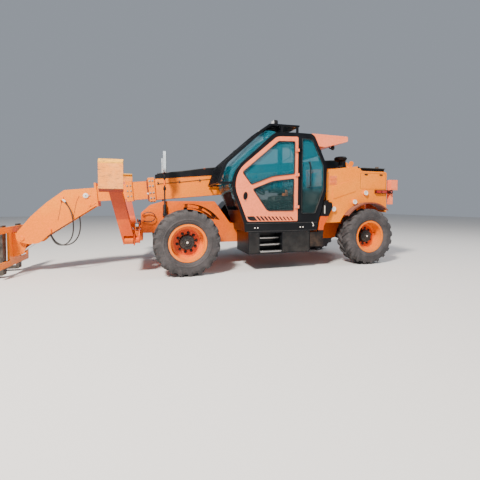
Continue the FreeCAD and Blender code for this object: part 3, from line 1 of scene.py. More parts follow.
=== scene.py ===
import bpy
import bmesh
import json
import math
import numpy as np
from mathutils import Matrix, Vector


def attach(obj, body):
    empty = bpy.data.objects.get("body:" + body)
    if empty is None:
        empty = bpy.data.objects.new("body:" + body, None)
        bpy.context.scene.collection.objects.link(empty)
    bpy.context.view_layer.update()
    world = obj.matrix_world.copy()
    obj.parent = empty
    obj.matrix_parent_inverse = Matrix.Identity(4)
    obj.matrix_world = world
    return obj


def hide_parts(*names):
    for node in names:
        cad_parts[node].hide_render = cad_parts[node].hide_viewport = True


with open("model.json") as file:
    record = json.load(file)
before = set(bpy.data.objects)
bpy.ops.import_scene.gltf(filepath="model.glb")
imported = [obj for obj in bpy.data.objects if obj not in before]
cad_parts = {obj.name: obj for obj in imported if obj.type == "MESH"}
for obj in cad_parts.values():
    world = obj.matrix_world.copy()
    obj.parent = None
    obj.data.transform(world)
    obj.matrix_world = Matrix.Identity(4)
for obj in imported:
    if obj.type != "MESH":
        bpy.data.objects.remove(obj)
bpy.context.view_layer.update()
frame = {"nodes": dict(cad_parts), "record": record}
print("frame loaded:", len(frame["nodes"]), "nodes")

# axes, and the places that the drawing is measured from, in millimetres
lengthways, sideways, upwards = np.eye(3)
frontAxle, axleHeight, wheelMiddle = -190, 575, 1000
boomPivot, boomTip = (3690, 1900), math.radians(5)
cabFace, hoodFace = -1130, -1050
wholeTurn = 2 * np.pi

# camera: where the photograph was taken from, metres and degrees
shot = {"place": (-0.781, -6.132, 1.227), "yaw": 16.9, "down": 1.8, "lens": 21.9, "sensor": 36, "shift": -0.054}


def addObject(name, data):
    thing = bpy.data.objects.new(name, data)
    bpy.context.scene.collection.objects.link(thing)
    return thing


def makeCamera(spec):
    data = bpy.data.cameras.new("camera")
    data.sensor_width = spec["sensor"]
    data.lens = spec["lens"]
    data.shift_y = spec["shift"]
    camera = addObject("camera", data)
    camera.location = spec["place"]
    camera.rotation_euler = (math.radians(90 - spec["down"]), 0, -math.radians(spec["yaw"]))
    bpy.context.scene.camera = camera


makeCamera(shot)
print("camera placed")


# drawing millimetres, measured from the front axle, to the model's metres
def drawn(points):
    return (np.asarray(points, float) + (frontAxle, 0, 0)) / 1000


# boom millimetres (along, across, up from the pivot) to metres: turned by the boom's tip about its pivot
def onBoom(points):
    p = np.asarray(points, float)
    x = boomPivot[0] + p[..., 0] * math.cos(boomTip) - p[..., 2] * math.sin(boomTip)
    z = boomPivot[1] + p[..., 0] * math.sin(boomTip) + p[..., 2] * math.cos(boomTip)
    return np.stack([x, p[..., 1], z], -1) / 1000


# the boom head's two hydraulic hoses: control points on the boom, millimetres
hoses = {
    "headHoseOuter": {"node": "head_hose_outer", "length": 1.21, "radius": 11, "route": [
        (-5988, -171, -98), (-5935, -180, -190), (-5898, -192, -330), (-5888, -200, -490), (-5905, -200, -650),
        (-5955, -195, -780), (-6050, -186, -868), (-6165, -178, -868), (-6250, -172, -780), (-6280, -172, -643)]},
    "headHoseInner": {"node": "head_hose_inner", "length": 1.032, "radius": 11, "route": [
        (-5800, -108, -332), (-5790, -112, -450), (-5800, -118, -600), (-5845, -122, -745), (-5935, -122, -850),
        (-6055, -118, -890), (-6175, -112, -855), (-6255, -108, -770), (-6290, -108, -664)]},
}


# a bevel of 1 m times each point's radius, so that the curve's own bounds are true
def makeHoses():
    made = []
    for name, spec in hoses.items():
        curve = bpy.data.curves.new(name, "CURVE")
        curve.dimensions = "3D"
        curve.bevel_depth = 1.0
        curve.bevel_resolution = 5
        curve.resolution_u = 10
        curve.use_fill_caps = True
        line = curve.splines.new("NURBS")
        points = onBoom(spec["route"])
        line.points.add(len(points) - 1)
        line.points.foreach_set("co", np.c_[points, np.ones(len(points))].ravel())
        line.points.foreach_set("radius", np.full(len(points), spec["radius"] / 1000))
        line.order_u = 3
        line.use_endpoint_u = True
        piece = addObject(name, curve)
        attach(piece, "boom_inner_section")
        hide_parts(spec["node"])
        made.append(piece)
    return made


headHoses = makeHoses()
print("head hoses laid:", len(headHoses))

# soft studio light over a plain pale floor
studio = {"world": (0.80, 0.88, 1.0, 1), "worldPower": 0.38, "floor": (0.70, 0.68, 0.66, 1), "floorSize": 60.0}
lamps = {
    "key": {"at": (-6.0, -8.0, 11.5), "aim": (0, 0, 0.9), "size": 2.0, "power": 5400, "tint": (1.0, 0.94, 0.86)},
    "rear": {"at": (9.0, -3.0, 9.0), "aim": (1, 0, 1), "size": 5.0, "power": 600, "tint": (0.95, 0.97, 1.0)},
    "fill": {"at": (0.5, -12.0, 2.6), "aim": (0, 0, 1), "size": 8.0, "power": 130, "tint": (1, 0.98, 0.95)},
}


def makeStudio(spec):
    world = bpy.data.worlds.new("studioWorld")
    bpy.context.scene.world = world
    world.use_nodes = True
    back = world.node_tree.nodes["Background"].inputs
    back["Color"].default_value = spec["world"]
    back["Strength"].default_value = spec["worldPower"]
    half = spec["floorSize"] / 2
    mesh = bpy.data.meshes.new("floor")
    mesh.from_pydata([(-half, -half, 0), (half, -half, 0), (half, half, 0), (-half, half, 0)], [], [(0, 1, 2, 3)])
    paint = bpy.data.materials.new("floorPaint")
    paint.use_nodes = True
    surface = paint.node_tree.nodes["Principled BSDF"].inputs
    surface["Base Color"].default_value = spec["floor"]
    surface["Roughness"].default_value = 0.85
    mesh.materials.append(paint)
    addObject("floor", mesh)
    for name, look in lamps.items():
        data = bpy.data.lights.new(name, "AREA")
        data.size = look["size"]
        data.energy = look["power"]
        data.color = look["tint"]
        lamp = addObject(name, data)
        lamp.location = look["at"]
        lamp.rotation_euler = (Vector(look["aim"]) - Vector(look["at"])).to_track_quat("-Z", "Y").to_euler()


makeStudio(studio)
print("studio lit")

# paints in linear light. Columns: base, faded base, dust, the height in metres that it reaches, its amount low
# down and on top faces, chips' colour and amount, roughness clean and worn, patches a metre, bump
paintColumns = ("base", "faded", "dust", "dustTo", "dustAmount", "topDust", "chip", "chips", "rough", "patch", "bump")
paints = {
    "boomOrange": ((0.93, 0.205, 0.0), (0.95, 0.26, 0.005), (0.52, 0.34, 0.18), 0.6, 0.2, 0.06,
                   (0.30, 0.06, 0.01), 0.25, (0.34, 0.60), 1.6, 0.08),
    "frameOrange": ((0.80, 0.120, 0.0), (0.86, 0.17, 0.006), (0.34, 0.20, 0.12), 0.9, 0.45, 0.15,
                    (0.16, 0.05, 0.02), 0.35, (0.42, 0.70), 2.2, 0.14),
    "armOrange": ((0.72, 0.085, 0.003), (0.80, 0.13, 0.012), (0.45, 0.30, 0.20), 0.5, 0.3, 0.15,
                  (0.14, 0.05, 0.03), 0.4, (0.36, 0.62), 2.4, 0.12),
    "rimOrange": ((0.90, 0.20, 0.002), (0.84, 0.14, 0.002), (0.45, 0.26, 0.14), 0.75, 0.35, 0.0,
                  (0.14, 0.05, 0.03), 0.35, (0.34, 0.60), 4.5, 0.10),
    "doorSalmon": ((0.95, 0.215, 0.090), (0.96, 0.26, 0.12), (0.62, 0.42, 0.32), 1.1, 0.25, 0.1,
                   (0.25, 0.09, 0.06), 0.14, (0.24, 0.44), 2.0, 0.05),
    "tailSalmon": ((0.93, 0.20, 0.08), (0.94, 0.26, 0.13), (0.55, 0.40, 0.30), 0.9, 0.3, 0.2,
                   (0.25, 0.09, 0.06), 0.3, (0.30, 0.55), 4.0, 0.08),
    "padPeach": ((0.93, 0.30, 0.045), (0.94, 0.38, 0.11), (0.46, 0.38, 0.16), 1.5, 0.3, 0.2,
                 (0.12, 0.10, 0.07), 0.7, (0.42, 0.72), 4.0, 0.25),
    # the rear fenders are black gloss plastic: this dark red-brown base is a painted reflection of the orange body on
    # them; on the boom it is a plain dark brown, and painted shade in the head's folds
    "fenderBrown": ((0.19, 0.048, 0.030), (0.27, 0.085, 0.050), (0.30, 0.19, 0.13), 1.6, 0.5, 0.45,
                    (0.05, 0.03, 0.02), 0.5, (0.45, 0.75), 6.0, 0.20),
    "hoodOrange": ((0.95, 0.235, 0.0), (0.96, 0.275, 0.012), (0.60, 0.38, 0.20), 1.3, 0.2, 0.12,
                   (0.20, 0.07, 0.03), 0.18, (0.32, 0.52), 1.3, 0.06),
    "cabBlack": ((0.0025, 0.003, 0.0045), (0.006, 0.007, 0.010), (0.045, 0.042, 0.040), 0.6, 0.22, 0.10,
                 (0.10, 0.08, 0.07), 0.10, (0.34, 0.58), 3.0, 0.06),
    "axleBlack": ((0.008, 0.007, 0.006), (0.025, 0.020, 0.017), (0.09, 0.07, 0.055), 1.2, 0.7, 0.4,
                  (0.14, 0.07, 0.04), 0.35, (0.50, 0.82), 5.0, 0.28),
    "mouldedBlack": ((0.005, 0.005, 0.006), (0.016, 0.016, 0.017), (0.17, 0.15, 0.13), 1.0, 0.2, 0.15,
                     (0.07, 0.065, 0.06), 0.08, (0.50, 0.74), 6.0, 0.16),
    "cowlSalmon": ((0.95, 0.225, 0.100), (0.96, 0.27, 0.14), (0.60, 0.42, 0.32), 0.5, 0.1, 0.12,
                   (0.25, 0.09, 0.06), 0.12, (0.26, 0.46), 2.6, 0.05),
    "tankOrange": ((0.64, 0.075, 0.0), (0.74, 0.12, 0.006), (0.34, 0.20, 0.12), 0.9, 0.45, 0.15,
                   (0.16, 0.05, 0.02), 0.35, (0.42, 0.70), 2.2, 0.14),
    "mirrorShell": ((0.016, 0.016, 0.017), (0.042, 0.041, 0.040), (0.17, 0.15, 0.13), 1.0, 0.2, 0.15,
                    (0.07, 0.065, 0.06), 0.08, (0.16, 0.34), 6.0, 0.06),
    "gauge": ((0.50, 0.47, 0.42), (0.62, 0.60, 0.56), (0.40, 0.33, 0.25), 1.2, 0.3, 0.2,
              (0.10, 0.09, 0.08), 0.15, (0.16, 0.4), 9.0, 0.06),
    "paleCap": ((0.80, 0.74, 0.68), (0.70, 0.62, 0.55), (0.45, 0.36, 0.28), 1.0, 0.3, 0.2,
                (0.25, 0.18, 0.13), 0.35, (0.30, 0.55), 9.0, 0.08),
    "nutBlack": ((0.014, 0.013, 0.013), (0.055, 0.048, 0.042), (0.17, 0.12, 0.08), 1.0, 0.4, 0.2,
                 (0.22, 0.13, 0.08), 0.5, (0.36, 0.68), 14.0, 0.20),
    "boltSteel": ((0.30, 0.27, 0.24), (0.20, 0.13, 0.09), (0.28, 0.19, 0.12), 1.2, 0.4, 0.2,
                  (0.20, 0.08, 0.04), 0.6, (0.32, 0.66), 16.0, 0.20),
    "forkSteel": ((0.024, 0.023, 0.022), (0.11, 0.09, 0.08), (0.24, 0.19, 0.14), 0.6, 0.4, 0.25,
                  (0.30, 0.27, 0.25), 0.7, (0.36, 0.68), 7.0, 0.22),
    "engineGrey": ((0.09, 0.09, 0.095), (0.16, 0.15, 0.14), (0.18, 0.14, 0.10), 2.2, 0.5, 0.5,
                   (0.05, 0.04, 0.035), 0.4, (0.55, 0.85), 6.0, 0.35),
    "exhaustSteel": ((0.10, 0.075, 0.06), (0.17, 0.11, 0.075), (0.16, 0.09, 0.06), 2.4, 0.6, 0.2,
                     (0.05, 0.035, 0.03), 0.5, (0.42, 0.75), 8.0, 0.25),
}

# a second colour inside a box: colour, low and high corner in metres, softness of the edge; None is open
openEnd = (None, None, None)
zones = {
    # stabiliser arms: darker above 0.985 m, a painted shadow of the foot's pad on the arm's upper part
    "armOrange": [((0.46, 0.052, 0.010), (None, None, 0.985), openEnd, 0.012)],
    "tailSalmon": [((0.085, 0.008, 0.005), (None, None, 1.46), (4.105, None, 1.545), 0.002)],
    # stabiliser pads: the lower lip darker, painted shade on the face turned down; the top bevel lighter, a painted
    # highlight on the face turned up
    "padPeach": [((0.30, 0.030, 0.008), openEnd, (None, None, 1.476), 0.006),
                 ((0.95, 0.42, 0.03), (None, None, 1.876), openEnd, 0.010)],
    # rear hood: near-black above 1.984 m, painted shade of the gap under its top cover
    "hoodOrange": [((0.030, 0.028, 0.022), (3.30, None, 1.984), openEnd, 0.001)],
    "tankOrange": [((0.004, 0.004, 0.005), (None, None, 1.005), openEnd, 0.004),
                   ((0.004, 0.004, 0.005), openEnd, (None, None, 0.735), 0.004)],
    # mirror heads: pale grey above 1.83 m, a painted reflection standing in for the mirror glass's shine
    "mirrorShell": [((0.46, 0.52, 0.56), (None, None, 1.83), openEnd, 0.004)],
}
# and inside a radius round each wheel's middle: colour, radius in metres
# rims: a deeper red inside the dish is painted shade of the deep dish; the near-black middle is the hub's own colour
rounds = {"rimOrange": [((0.62, 0.065, 0.001), 0.232), ((0.020, 0.020, 0.022), 0.139)]}
scratches = {"padPeach": 0.75}
coats = {"doorSalmon": 0.12, "cowlSalmon": 0.12, "mirrorShell": 0.6}


# a material and the few kinds of node that the finishes are made of
class Finish:
    def __init__(self, name):
        self.made = bpy.data.materials.new(name)
        self.made.use_nodes = True
        self.tree = self.made.node_tree
        self.surface = self.tree.nodes["Principled BSDF"].inputs
        coords = self.node("TexCoord").outputs
        self.at, self.normal = coords["Object"], coords["Normal"]

    def node(self, kind, **values):
        made = self.tree.nodes.new("ShaderNode" + kind)
        for key, value in values.items():
            setattr(made, key, value)
        return made

    # a link from another node, or a plain number or colour
    def put(self, socket, item):
        if isinstance(item, bpy.types.NodeSocket):
            self.tree.links.new(item, socket)
        else:
            socket.default_value = (*item, 1) if isinstance(item, tuple) else item

    def split(self, vector):
        made = self.node("SeparateXYZ")
        self.put(made.inputs[0], vector)
        return made.outputs

    def noise(self, scale, detail=4.0, rough=0.55, at=None):
        made = self.node("TexNoise")
        for name, item in (("Scale", scale), ("Detail", detail), ("Roughness", rough), ("Vector", at or self.at)):
            self.put(made.inputs[name], item)
        return made.outputs["Fac"]

    # a smooth step of one value, from one number to another
    def between(self, value, low, high, toLow=0.0, toHigh=1.0):
        made = self.node("MapRange", clamp=True, interpolation_type="SMOOTHSTEP")
        for name, item in (("Value", value), ("From Min", low), ("From Max", high),
                           ("To Min", toLow), ("To Max", toHigh)):
            self.put(made.inputs[name], item)
        return made.outputs["Result"]

    def sums(self, kind, a, b=0):
        made = self.node("Math", operation=kind)
        self.put(made.inputs[0], a)
        self.put(made.inputs[1], b)
        return made.outputs[0]

    def times(self, a, b):
        return self.sums("MULTIPLY", a, b)

    def plus(self, a, b):
        return self.sums("ADD", a, b)

    def most(self, a, b):
        return self.sums("MAXIMUM", a, b)

    def mix(self, amount, a, b, kind="MIX"):
        made = self.node("Mix", data_type="RGBA", blend_type=kind)
        for key, item in ((0, amount), (6, a), (7, b)):
            self.put(made.inputs[key], item)
        return made.outputs[2]

    def bump(self, height, strength, distance, under=None):
        made = self.node("Bump")
        self.put(made.inputs["Strength"], strength)
        self.put(made.inputs["Distance"], distance)
        self.put(made.inputs["Height"], height)
        if under:
            self.put(made.inputs["Normal"], under)
        self.put(self.surface["Normal"], made.outputs["Normal"])

    # 1 inside a box given by its low and high corners in metres
    def insideBox(self, split, low, high, soft):
        mask = 1.0
        for k, letter in enumerate("XYZ"):
            for limit, way in ((low[k], 1), (high[k], -1)):
                if limit is not None:
                    edge = self.between(split[letter], limit - soft, limit + soft, (1 - way) / 2, (1 + way) / 2)
                    mask = self.times(edge, mask)
        return mask

    # 1 within a radius of the nearer of two wheel centres, seen from the side
    def insideWheel(self, split, radius):
        near = None
        for station, _ in (wheels["front_left"], wheels["rear_left"]):
            along = self.sums("SUBTRACT", split["X"], (station + frontAxle) / 1000)
            up = self.sums("SUBTRACT", split["Z"], axleHeight / 1000)
            away = self.sums("SQRT", self.plus(self.times(along, along), self.times(up, up)))
            near = away if near is None else self.sums("MINIMUM", near, away)
        return self.between(near, radius - 0.001, radius + 0.001, 1.0, 0.0)


# stations of the wheels behind the front axle, and their sides
wheels = {"front_left": (0, -1), "front_right": (0, 1), "rear_left": (3720, -1), "rear_right": (3720, 1)}


# old paint: a base that fades in patches, dust that gathers low down and on top faces,
# small chips, long scratches where wanted, and a fine orange-peel bump with softened edges
def makePaint(name, row):
    look, f = dict(zip(paintColumns, row)), Finish(name)
    split = f.split(f.at)
    patches = f.between(f.noise(look["patch"], 6.0, 0.6), 0.44, 0.66)
    colour = f.mix(f.times(patches, 0.6), look["base"], look["faded"])
    for other, low, high, soft in zones.get(name, ()):
        colour = f.mix(f.insideBox(split, low, high, soft), colour, other)
    for other, radius in rounds.get(name, ()):
        colour = f.mix(f.insideWheel(split, radius), colour, other)
    shade = f.node("CombineColor")
    mottle = f.between(f.noise(34.0, 3.0), 0.3, 0.7, 0.90, 1.05)
    for socket in shade.inputs[:3]:
        f.put(socket, mottle)
    colour = f.mix(1.0, colour, shade.outputs[0], "MULTIPLY")
    grime = f.noise(5.5, 7.0, 0.68)
    low = f.times(f.between(split["Z"], 0.05, look["dustTo"], 1.0, 0.0), look["dustAmount"])
    top = f.times(f.between(f.split(f.normal)["Z"], 0.35, 0.95), look["topDust"])
    dust = f.most(f.times(low, f.between(grime, 0.30, 0.72)), f.times(top, f.between(grime, 0.25, 0.75)))
    colour = f.mix(dust, colour, look["dust"])
    chips = f.times(f.between(f.noise(23.0, 8.0, 0.72), 0.64, 0.70), look["chips"])
    if name in scratches:
        stretch = f.node("VectorMath", operation="MULTIPLY")
        stretch.inputs[1].default_value = (7.0, 7.0, 60.0)
        f.put(stretch.inputs[0], f.at)
        lines = f.noise(1.0, 5.0, 0.7, stretch.outputs[0])
        chips = f.most(chips, f.between(lines, 0.55, 0.62, 0.0, scratches[name]))
    f.put(f.surface["Base Color"], f.mix(chips, colour, look["chip"]))
    worn = f.plus(f.times(patches, 0.4), f.most(dust, chips))
    f.put(f.surface["Roughness"], f.between(worn, 0.0, 1.0, *look["rough"]))
    f.surface["Specular IOR Level"].default_value = 0.25
    f.surface["Coat Weight"].default_value = coats.get(name, 0.0)
    f.surface["Coat Roughness"].default_value = 0.25
    soft = f.node("Bevel", samples=4)
    soft.inputs["Radius"].default_value = 0.004
    height = f.plus(f.noise(180.0, 2.0), f.times(chips, -1.5))
    f.bump(height, look["bump"], 0.002, soft.outputs["Normal"])
    return f.made


# columns: base, dust, dust's least and most, its scale, fine dust, roughness clean and dusty, bump
rubbers = {
    "tyreRubber": ((0.018, 0.016, 0.017), (0.090, 0.080, 0.082), (0.10, 0.80), 4.0, 0.5, (0.70, 0.95), 0.35),
    "hoseRubber": ((0.012, 0.012, 0.013), (0.10, 0.085, 0.07), (0.0, 0.35), 9.0, 0.15, (0.42, 0.75), 0.20),
    "gasket": ((0.010, 0.010, 0.011), (0.08, 0.07, 0.06), (0.0, 0.25), 7.0, 0.1, (0.5, 0.75), 0.12),
}


# rubber: dark with dried dust that keeps to noise patches, over a matt bump
def makeRubber(name, row):
    base, dust, amount, scale, fine, rough, bump = row
    f = Finish(name)
    dirt = f.most(f.between(f.noise(scale, 8.0, 0.7), 0.38, 0.68, *amount),
                  f.between(f.noise(60.0, 4.0, 0.7), 0.35, 0.7, 0.0, fine))
    f.put(f.surface["Base Color"], f.mix(dirt, base, dust))
    f.put(f.surface["Roughness"], f.between(dirt, 0.0, 1.0, *rough))
    f.bump(f.noise(120.0, 5.0, 0.7), bump, 0.003)
    return f.made


# columns: tint, painted shade of the lower part (the dark cab inside), dust, alpha clean, most dust, roughness clean
glazing = {
    "tintedGlass": ((0.006, 0.21, 0.29), (0.018, 0.055, 0.058), (0.35, 0.38, 0.36), 0.27, 0.14, 0.03),
    "lensClear": ((0.72, 0.74, 0.76), (0.72, 0.74, 0.76), (0.5, 0.46, 0.40), 0.75, 0.3, 0.08),
    "lensAmber": ((0.85, 0.22, 0.01), (0.85, 0.22, 0.01), (0.55, 0.36, 0.2), 0.88, 0.3, 0.10),
    "lensRed": ((0.42, 0.012, 0.008), (0.42, 0.012, 0.008), (0.4, 0.2, 0.15), 0.92, 0.3, 0.10),
}


# tinted glass or lens: a see-through sheet whose lower part is painted darker as shade of the dark cab inside, with a
# little dust
def makeGlass(name, row):
    tint, lowShadeTint, dust, alpha, dustAlpha, rough = row
    f = Finish(name)
    # lower part darker: painted shade of the cab's dark inside
    lower = f.between(f.split(f.at)["Z"], 1.40, 1.75, 1.0, 0.0)
    dirt = f.between(f.noise(3.0, 8.0, 0.65), 0.45, 0.75, 0.0, dustAlpha)
    f.put(f.surface["Base Color"], f.mix(dirt, f.mix(lower, tint, lowShadeTint), dust))
    f.put(f.surface["Alpha"], f.between(dirt, 0.0, 1.0, alpha, 0.95))
    f.put(f.surface["Roughness"], f.between(dirt, 0.0, 0.3, rough, 0.35))
    f.surface["Specular IOR Level"].default_value = 0.8
    return f.made


# columns: base, stain, how much of it, roughness least and most
metals = {
    "rodChrome": ((0.62, 0.62, 0.63), (0.34, 0.27, 0.20), 0.5, (0.12, 0.34)),
    "mirrorGlass": ((0.78, 0.80, 0.82), (0.5, 0.47, 0.42), 0.2, (0.02, 0.10)),
    "reflector": ((0.85, 0.85, 0.84), (0.5, 0.45, 0.38), 0.3, (0.08, 0.20)),
    "treadSteel": ((0.42, 0.41, 0.40), (0.20, 0.15, 0.11), 0.8, (0.30, 0.60)),
}


# bright metal with fine scratches in its roughness and a few dry stains
def makeMetal(name, row):
    base, stain, stains, rough = row
    f = Finish(name)
    amount = f.between(f.noise(9.0, 6.0, 0.7), 0.55, 0.75, 0.0, stains)
    f.put(f.surface["Base Color"], f.mix(amount, base, stain))
    f.put(f.surface["Roughness"], f.between(f.noise(220.0, 3.0), 0.3, 0.7, *rough))
    f.surface["Metallic"].default_value = 1.0
    return f.made


cloth = {"base": (0.030, 0.030, 0.034), "light": (0.062, 0.062, 0.068), "weave": 420.0, "bump": 0.5}


# seat cloth: two crossed waves make the weave, over a slow change of colour
def makeCloth(name, look):
    f = Finish(name)
    threads = []
    for way in ("X", "Y"):
        wave = f.node("TexWave", wave_type="BANDS", bands_direction=way)
        for key, item in (("Scale", look["weave"]), ("Distortion", 1.5), ("Vector", f.at)):
            f.put(wave.inputs[key], item)
        threads.append(wave.outputs["Fac"])
    weave = f.times(*threads)
    tone = f.plus(f.times(weave, 0.5), f.between(f.noise(6.0, 5.0), 0.35, 0.7, 0.0, 0.5))
    f.put(f.surface["Base Color"], f.mix(tone, look["base"], look["light"]))
    f.surface["Roughness"].default_value = 0.9
    f.surface["Sheen Weight"].default_value = 0.25
    f.bump(weave, look["bump"], 0.001)
    return f.made


finishes = {"seatCloth": makeCloth("seatCloth", cloth)}
for table, make in ((paints, makePaint), (rubbers, makeRubber), (glazing, makeGlass), (metals, makeMetal)):
    finishes.update({name: make(name, row) for name, row in table.items()})

slotFinish = {
    "orange_paint": "boomOrange", "salmon_paint": "doorSalmon", "black_paint": "cabBlack",
    "black_plastic": "mouldedBlack", "tyre_rubber": "tyreRubber", "tinted_glass": "tintedGlass",
    "seat_cloth": "seatCloth", "engine_metal": "engineGrey", "steel": "exhaustSteel", "rod_chrome": "rodChrome",
    "lamp_plastic": "lensAmber", "hose_rubber": "hoseRubber",
}
nodeFinish = {
    "chassis_frame": "frameOrange", "front_axle": "axleBlack", "rear_axle": "axleBlack", "forks": "forkSteel",
    "rear_fenders": "fenderBrown", "hydraulic_tank": "tankOrange", "mirrors": "mirrorShell",
    "engine_hoods": "hoodOrange", "tail_lamps": "tailSalmon", "roof_visor": "cowlSalmon",
}
familyFinish = {
    "knuckle": "axleBlack", "rim": "rimOrange", "stabiliser_arm": "armOrange", "stabiliser_foot": "padPeach",
}


# each node takes its family's finish, or its own, or its slot's
def dress():
    slots = {entry["node"]: entry["material_slot"] for entry in frame["record"]["subparts"]}
    for name, thing in frame["nodes"].items():
        finish = nodeFinish.get(name, slotFinish[slots[name]])
        for family, other in familyFinish.items():
            if name.startswith(family):
                finish = other
        thing.data.materials.clear()
        thing.data.materials.append(finishes[finish])
    for hose in headHoses:
        hose.data.materials.append(finishes["hoseRubber"])


dress()
print("finishes on", len(frame["nodes"]), "nodes")


# a grid of points as quads; rows or columns may close on themselves, ends may be capped
def gridOf(points, wrapRows=False, wrapColumns=False, capStart=False, capEnd=False):
    rows, columns = points.shape[:2]
    index = np.arange(rows * columns).reshape(rows, columns)
    if wrapRows:
        index = np.vstack([index, index[:1]])
    if wrapColumns:
        index = np.hstack([index, index[:, :1]])
    faces = np.stack([index[:-1, :-1], index[1:, :-1], index[1:, 1:], index[:-1, 1:]], -1).reshape(-1, 4).tolist()
    if capStart:
        faces.append(list(range(columns)))
    if capEnd:
        faces.append(list(range((rows - 1) * columns, rows * columns)))
    return points.reshape(-1, 3), faces


def capped(points):
    return gridOf(points, wrapColumns=True, capStart=True, capEnd=True)


def roundTurn(steps):
    return np.linspace(0, wholeTurn, steps, endpoint=False)


# rows of (radius, distance along the axis) turned about the axis
def revolve(rows, at=(0, 0, 0), axis="y", steps=32, ring=False):
    rows = np.asarray(rows, float)
    angle = roundTurn(steps)
    a, b = rows[:, :1] * np.cos(angle), rows[:, :1] * np.sin(angle)
    c = np.broadcast_to(rows[:, 1:], (len(rows), steps))
    points = np.stack({"x": (c, a, b), "y": (b, c, a), "z": (a, b, c)}[axis], -1) + np.asarray(at, float)
    if ring:
        return gridOf(points, wrapRows=True, wrapColumns=True)
    return gridOf(points, wrapColumns=True, capStart=rows[0, 0] > 0, capEnd=rows[-1, 0] > 0)


# hexagon head with a chamfer over a round washer; way is +1 or -1 along the axis
def bolt(at, axis="y", way=-1, across=24, high=14):
    r = across / math.sqrt(3)
    head = [(0, 0), (r, 0), (r, way * high * 0.78), (r * 0.86, way * high), (0, way * high)]
    disc = [(0, 0), (r * 1.45, 0), (r * 1.45, way * 2.4), (r * 1.3, way * 3.2), (0, way * 3.2)]
    return [revolve(head, at, axis, 6), revolve(disc, at, axis, 20)]


# a profile (across, over) carried along a path: at each point it stands square to the path
def alongPath(path, profile, up=sideways, closed=False):
    path = np.asarray(path, float)
    tangent = np.roll(path, -1, 0) - np.roll(path, 1, 0) if closed else np.gradient(path, axis=0)
    tangent /= np.linalg.norm(tangent, axis=1)[:, None]
    side = np.cross(tangent, up)
    side /= np.linalg.norm(side, axis=1)[:, None]
    over = np.cross(side, tangent)
    profile = np.asarray(profile, float)
    points = path[:, None] + side[:, None] * profile[None, :, :1] + over[:, None] * profile[None, :, 1:]
    return gridOf(points, wrapRows=closed, wrapColumns=True, capStart=not closed, capEnd=not closed)


def circle(radius, sides=12):
    angle = roundTurn(sides)
    return np.stack([radius * np.cos(angle), radius * np.sin(angle)], -1)


# rectangle with cut corners
def bar(wide, high, edge=1.5):
    w, h = wide / 2, high / 2
    return [(-w + edge, -h), (w - edge, -h), (w, -h + edge), (w, h - edge),
            (w - edge, h), (-w + edge, h), (-w, h - edge), (-w, -h + edge)]


# a smooth line through a few points: each point moves along a cubic between its neighbours
def smoothLine(points, steps=8):
    p = np.asarray(points, float)
    p = np.vstack([2 * p[0] - p[1], p, 2 * p[-1] - p[-2]])
    t = np.linspace(0, 1, steps, endpoint=False)[None, :, None]
    a, b, c, d = (p[k:len(p) - 3 + k, None] for k in range(4))
    line = 0.5 * (2 * b + (c - a) * t + (2 * a - 5 * b + 4 * c - d) * t ** 2 + (3 * b - a - 3 * c + d) * t ** 3)
    return np.vstack([line.reshape(-1, p.shape[1]), p[-2]])


# a round cable, or a strap of bar section, along a smooth line
def cable(points, steps, radius, sides=12, up=sideways):
    return alongPath(smoothLine(points, steps), circle(radius, sides), up)


def strap(points, steps, wide, high, edge, up=sideways):
    return alongPath(smoothLine(points, steps), bar(wide, high, edge), up)


# corners (x, z, radius) as an outline: each corner is the arc that touches both its sides
def rounded(rows, steps=10):
    corner = np.array([row[:2] for row in rows], float)
    radius = np.array([row[2] for row in rows], float)
    before = np.roll(corner, 1, 0) - corner
    after = np.roll(corner, -1, 0) - corner
    before /= np.linalg.norm(before, axis=1)[:, None]
    after /= np.linalg.norm(after, axis=1)[:, None]
    half = np.arccos(np.clip((before * after).sum(1), -1, 1)) / 2
    middle = before + after
    middle = corner + middle / np.linalg.norm(middle, axis=1)[:, None] * (radius / np.sin(half))[:, None]
    start = corner + before * (radius / np.tan(half))[:, None] - middle
    end = corner + after * (radius / np.tan(half))[:, None] - middle
    first = np.arctan2(start[:, 1], start[:, 0])
    sweep = (np.arctan2(end[:, 1], end[:, 0]) - first + np.pi) % wholeTurn - np.pi
    angle = first[:, None] + sweep[:, None] * np.linspace(0, 1, steps)
    arcs = middle[:, None] + radius[:, None, None] * np.stack([np.cos(angle), np.sin(angle)], -1)
    return arcs.reshape(-1, 2)


# a rectangle's outline with four equal round corners
def plate(x0, x1, z0, z1, radius, steps=5):
    return rounded([(x0, z0, radius), (x0, z1, radius), (x1, z1, radius), (x1, z0, radius)], steps)


# an outline moved inwards by a distance along its own normals
def inset(outline, distance):
    outline = np.asarray(outline, float)
    along = np.roll(outline, -1, 0) - np.roll(outline, 1, 0)
    normal = np.stack([along[:, 1], -along[:, 0]], -1) / (np.linalg.norm(along, axis=1)[:, None] + 1e-9)
    x, y = outline.T
    area = (x * np.roll(y, -1) - y * np.roll(x, -1)).sum()
    return outline - np.sign(area) * normal * distance


# flat points at one depth: the plane's name is the axis that it is square to
def atDepth(flat, depth, plane="y"):
    flat = np.asarray(flat, float)
    deep = np.full(len(flat), float(depth))
    a, b = flat[:, 0], flat[:, 1]
    return np.stack({"x": (deep, a, b), "y": (a, deep, b), "z": (a, b, deep)}[plane], -1)


# a bead of one profile round a closed outline
def bead(outline, depth, profile, plane="y"):
    return alongPath(atDepth(outline, depth, plane), profile, {"x": lengthways, "y": sideways}[plane], closed=True)


# an outline as a plate between two depths, its rims cut at 45 degrees
def slab(outline, low, high, plane="y", edge=0.0):
    levels = [(low, edge), (low + edge, 0), (high - edge, 0), (high, edge)] if edge else [(low, 0), (high, 0)]
    layers = [atDepth(inset(outline, cut) if cut else outline, level, plane) for level, cut in levels]
    return capped(np.stack(layers))


